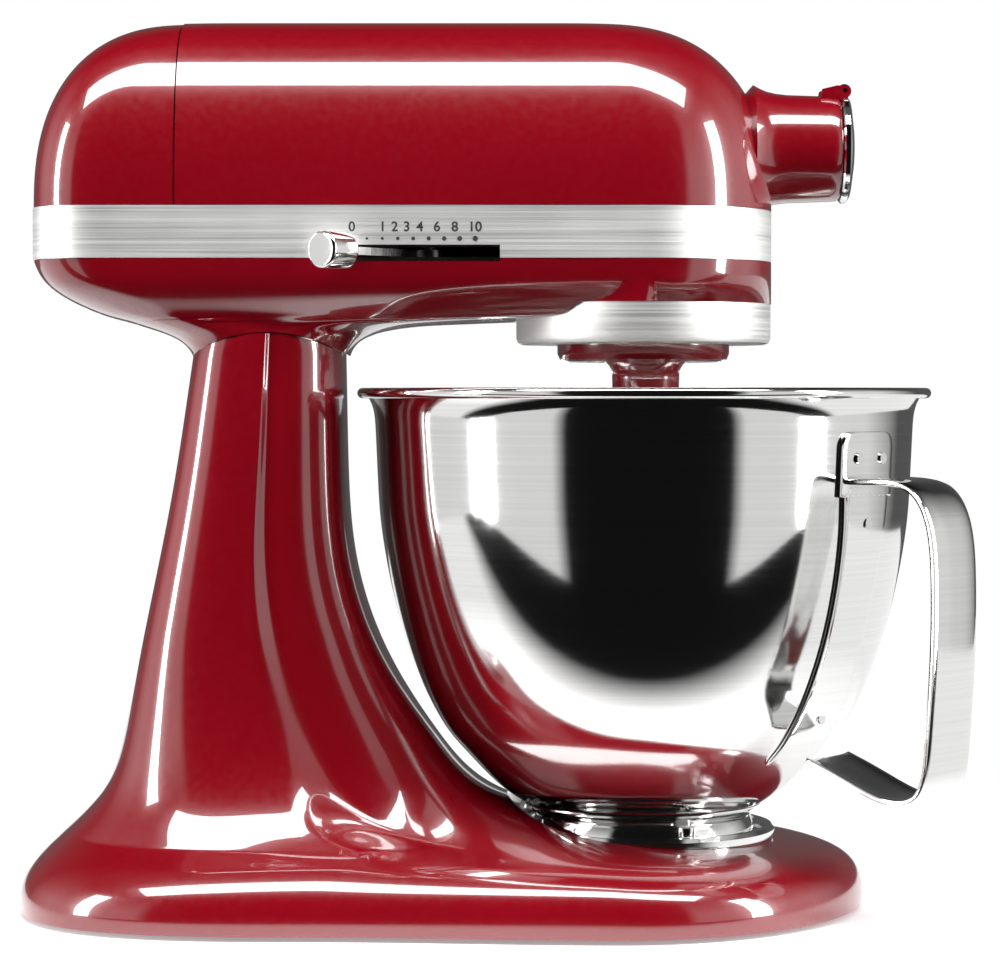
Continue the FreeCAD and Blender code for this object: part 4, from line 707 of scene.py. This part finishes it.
def rowTree(name):
    tree = bpy.data.node_groups.new(name, "GeometryNodeTree")
    kinds = (("Count", "NodeSocketInt"), ("Start", "NodeSocketVector"), ("Step", "NodeSocketVector"),
             ("Radius", "NodeSocketFloat"), ("Growth", "NodeSocketFloat"), ("Thickness", "NodeSocketFloat"),
             ("Turn", "NodeSocketVector"), ("Material", "NodeSocketMaterial"))
    for label, kind in kinds:
        tree.interface.new_socket(label, in_out="INPUT", socket_type=kind)
    tree.interface.new_socket("Geometry", in_out="OUTPUT", socket_type="NodeSocketGeometry")
    given = tree.nodes.new("NodeGroupInput")
    result = tree.nodes.new("NodeGroupOutput")
    line = tree.nodes.new("GeometryNodeMeshLine")
    disc = tree.nodes.new("GeometryNodeMeshCylinder")
    disc.inputs["Vertices"].default_value = 28
    place = tree.nodes.new("GeometryNodeInstanceOnPoints")
    index = tree.nodes.new("GeometryNodeInputIndex")
    size = tree.nodes.new("ShaderNodeMath")
    size.operation = "MULTIPLY_ADD"
    size.inputs[2].default_value = 1.0
    real = tree.nodes.new("GeometryNodeRealizeInstances")
    paint = tree.nodes.new("GeometryNodeSetMaterial")
    turn = tree.nodes.new("FunctionNodeEulerToRotation")
    joins = ((given.outputs["Count"], line.inputs["Count"]), (given.outputs["Start"], line.inputs["Start Location"]),
             (given.outputs["Step"], line.inputs["Offset"]), (given.outputs["Radius"], disc.inputs["Radius"]),
             (given.outputs["Thickness"], disc.inputs["Depth"]), (line.outputs["Mesh"], place.inputs["Points"]),
             (disc.outputs["Mesh"], place.inputs["Instance"]), (given.outputs["Turn"], turn.inputs["Euler"]),
             (turn.outputs["Rotation"], place.inputs["Rotation"]), (index.outputs[0], size.inputs[0]),
             (given.outputs["Growth"], size.inputs[1]), (size.outputs[0], place.inputs["Scale"]),
             (place.outputs["Instances"], real.inputs["Geometry"]), (real.outputs["Geometry"], paint.inputs["Geometry"]),
             (given.outputs["Material"], paint.inputs["Material"]), (paint.outputs["Geometry"], result.inputs[0]))
    for a, b in joins:
        tree.links.new(a, b)
    return tree

rowOfDiscs = rowTree("rowOfDiscs")

def discRow(name, **values):
    piece = bpy.data.objects.new(name, bpy.data.meshes.new(name))
    bpy.context.scene.collection.objects.link(piece)
    change = piece.modifiers.new("row", "NODES")
    change.node_group = rowOfDiscs
    sockets = {item.name: item.identifier for item in rowOfDiscs.interface.items_tree if item.in_out == "INPUT"}
    for label, value in values.items():
        change[sockets[label]] = value
    graph = bpy.context.evaluated_depsgraph_get()
    mesh = bpy.data.meshes.new_from_object(piece.evaluated_get(graph))
    piece.modifiers.clear()
    piece.data = mesh
    softShade(mesh, 40)
    return piece

def makeDial(s):
    figures = [numberMesh(text, x, s) for text, x in s["marks"]]
    dots = s["dots"]
    row = discRow("dots", Count=dots["count"], Start=(dots["first"] * mm, s["face"] * mm, s["dotZ"] * mm),
                  Step=(dots["step"] * mm, 0, 0), Radius=dots["small"] * mm, Growth=dots["growth"],
                  Thickness=s["ink"] * mm, Turn=(math.pi / 2, 0, 0), Material=ink)
    ringProfile = [(0.55, -0.06), (0.8, -0.06), (0.8, 0.06), (0.55, 0.06)]
    ring = spun("ring", ringProfile, (-45.9, s["face"], s["dotZ"]), axis="y", steps=32)
    return joined("dialMarks", row, ring, *figures)

weld = {"radius": 1.9, "thick": 0.7, "out": 1.95, "rows": ((159.0, 2, 14.0), (137.0, 1, 0.0), (70.0, 1, 0.0))}

def makeWelds(s):
    turn = math.radians(handle["turn"])
    out, along = Vector((math.cos(turn), math.sin(turn), 0)), Vector((-math.sin(turn), math.cos(turn), 0))
    wall = bowlWall(bowl, 0.0, 200)
    dots = []
    for z, count, gap in s["rows"]:
        radius = float(np.interp(z, wall[:, 1], wall[:, 0])) + s["out"]
        start = Vector((bowl["x"], 0, z)) + out * radius - along * (gap * (count - 1) / 2)
        dots.append(discRow("weld", Count=count, Start=tuple(start * mm), Step=tuple(along * gap * mm),
                            Radius=s["radius"] * mm, Growth=0.0, Thickness=s["thick"] * mm,
                            Turn=(0, math.pi / 2, turn), Material=finishes["polished_steel"]))
    return joined("handleWelds", *dots)

finished(makeWelds(weld), "bowl", "polished_steel")

ink = speckled("dialInk", (0.03, 0.03, 0.032), (0.05, 0.05, 0.052), (0.4, 0.55), 2000.0, 0.1)
marks = makeDial(dial)
marks.data.materials.clear()
marks.data.materials.append(ink)
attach(marks, "head")
print("dial marks built")

# studio
studio = {
    "overhead": {"place": (0.0, -0.56, 1.36), "size": (1.9, 0.46), "power": 30.0},
    "left": {"place": (-1.25, -0.42, 0.42), "size": (0.26, 1.1), "power": 14.0},
    "right": {"place": (1.25, -0.42, 0.42), "size": (0.26, 1.1), "power": 14.0},
    "target": (0, 0, 0.17), "floor": (-0.9, 0.9, -0.30, 1.2), "floorCentre": (0, 0.10, 0),
    "floorFade": (0.20, 0.34), "floorGlow": 0.3, "floorDark": (-0.17, -0.12),
    "dark": 0.006, "sides": 0.8, "behind": 0.12, "halfGap": (35.0, 41.0), "sideEnd": (105.0, 135.0),
}

def softBox(name, s):
    data = bpy.data.lights.new(name, "AREA")
    data.shape = "RECTANGLE"
    data.size, data.size_y = s["size"]
    data.energy = s["power"]
    lamp = bpy.data.objects.new(name, data)
    lamp.location = s["place"]
    aim = Vector(studio["target"]) - Vector(s["place"])
    lamp.rotation_euler = aim.to_track_quat("-Z", "Y").to_euler()
    lamp.visible_camera = False
    bpy.context.scene.collection.objects.link(lamp)

def mathNode(tree, operation, first, second=None, clamp=False):
    node = addNode(tree, "ShaderNodeMath", {"operation": operation, "use_clamp": clamp})
    for socket, value in zip(node.inputs, (first, second)):
        if value is None:
            continue
        if isinstance(value, (int, float)):
            socket.default_value = value
        else:
            tree.links.new(value, socket)
    return node.outputs[0]

def paleWorld(s):
    world = bpy.data.worlds.new("studio")
    bpy.context.scene.world = world
    world.use_nodes = True
    tree = world.node_tree
    background = tree.nodes["Background"]
    seen = addNode(tree, "ShaderNodeLightPath")
    coords = addNode(tree, "ShaderNodeTexCoord")
    parts = addNode(tree, "ShaderNodeSeparateXYZ")
    tree.links.new(coords.outputs["Generated"], parts.inputs[0])
    across = mathNode(tree, "ABSOLUTE", parts.outputs["X"])
    toward = mathNode(tree, "MULTIPLY", parts.outputs["Y"], -1.0)
    angle = mathNode(tree, "ARCTAN2", across, toward)
    low, high = (math.radians(a) for a in s["halfGap"])
    side = ranged(tree, angle, 0.0, s["sides"], low, high)
    low, high = (math.radians(a) for a in s["sideEnd"])
    side = mathNode(tree, "MULTIPLY", side, ranged(tree, angle, 1.0, s["behind"], low, high))
    upward = ranged(tree, parts.outputs["Z"], 1.0, 0.12, 0.25, 0.75)
    walls = mathNode(tree, "MULTIPLY", side, upward)
    lit = mathNode(tree, "MAXIMUM", walls, s["dark"])
    mix = addNode(tree, "ShaderNodeMix", {"data_type": "FLOAT"})
    tree.links.new(seen.outputs["Is Camera Ray"], mix.inputs["Factor"])
    tree.links.new(lit, mix.inputs["A"])
    mix.inputs["B"].default_value = 1.0
    tree.links.new(mix.outputs["Result"], background.inputs["Strength"])
    background.inputs["Color"].default_value = (1, 1, 1, 1)

def paleFloor(s):
    mesh = bpy.data.meshes.new("studioFloor")
    x0, x1, y0, y1 = s["floor"]
    mesh.from_pydata([(x0, y0, 0), (x1, y0, 0), (x1, y1, 0), (x0, y1, 0)], [], [(0, 1, 2, 3)])
    floor = bpy.data.objects.new("studioFloor", mesh)
    floor.location = (0, 0, -0.0002)
    bpy.context.scene.collection.objects.link(floor)
    material, tree, shader = startMaterial("paleFloor", Base_Color=(0.86, 0.86, 0.86, 1), Roughness=0.9,
                                           Emission_Color=(1, 1, 1, 1), Emission_Strength=s["floorGlow"])
    shader.inputs["Specular IOR Level"].default_value = 0.0
    glow = addNode(tree, "ShaderNodeEmission", Strength=1.0)
    coords = addNode(tree, "ShaderNodeTexCoord")
    away = addNode(tree, "ShaderNodeVectorMath", {"operation": "DISTANCE"})
    tree.links.new(coords.outputs["Object"], away.inputs[0])
    away.inputs[1].default_value = s["floorCentre"]
    mix = addNode(tree, "ShaderNodeMixShader")
    tree.links.new(ranged(tree, away.outputs["Value"], 0, 1, *s["floorFade"]), mix.inputs[0])
    tree.links.new(shader.outputs[0], mix.inputs[1])
    tree.links.new(glow.outputs[0], mix.inputs[2])
    # a dark strip ahead of the mixer, which only its polished parts see
    parts = addNode(tree, "ShaderNodeSeparateXYZ")
    tree.links.new(coords.outputs["Object"], parts.inputs[0])
    seen = addNode(tree, "ShaderNodeLightPath")
    lit = mathNode(tree, "MAXIMUM", seen.outputs["Is Camera Ray"],
                   ranged(tree, parts.outputs["Y"], 0, 1, *s["floorDark"]))
    dim = addNode(tree, "ShaderNodeEmission", Strength=s["dark"])
    strip = addNode(tree, "ShaderNodeMixShader")
    tree.links.new(lit, strip.inputs[0])
    tree.links.new(dim.outputs[0], strip.inputs[1])
    tree.links.new(mix.outputs[0], strip.inputs[2])
    tree.links.new(strip.outputs[0], tree.nodes["Material Output"].inputs[0])
    mesh.materials.append(material)

for lampName in ("overhead", "left", "right"):
    softBox(lampName, studio[lampName])
paleWorld(studio)
paleFloor(studio)
bpy.context.scene.view_settings.view_transform = "Standard"
print("studio ready")
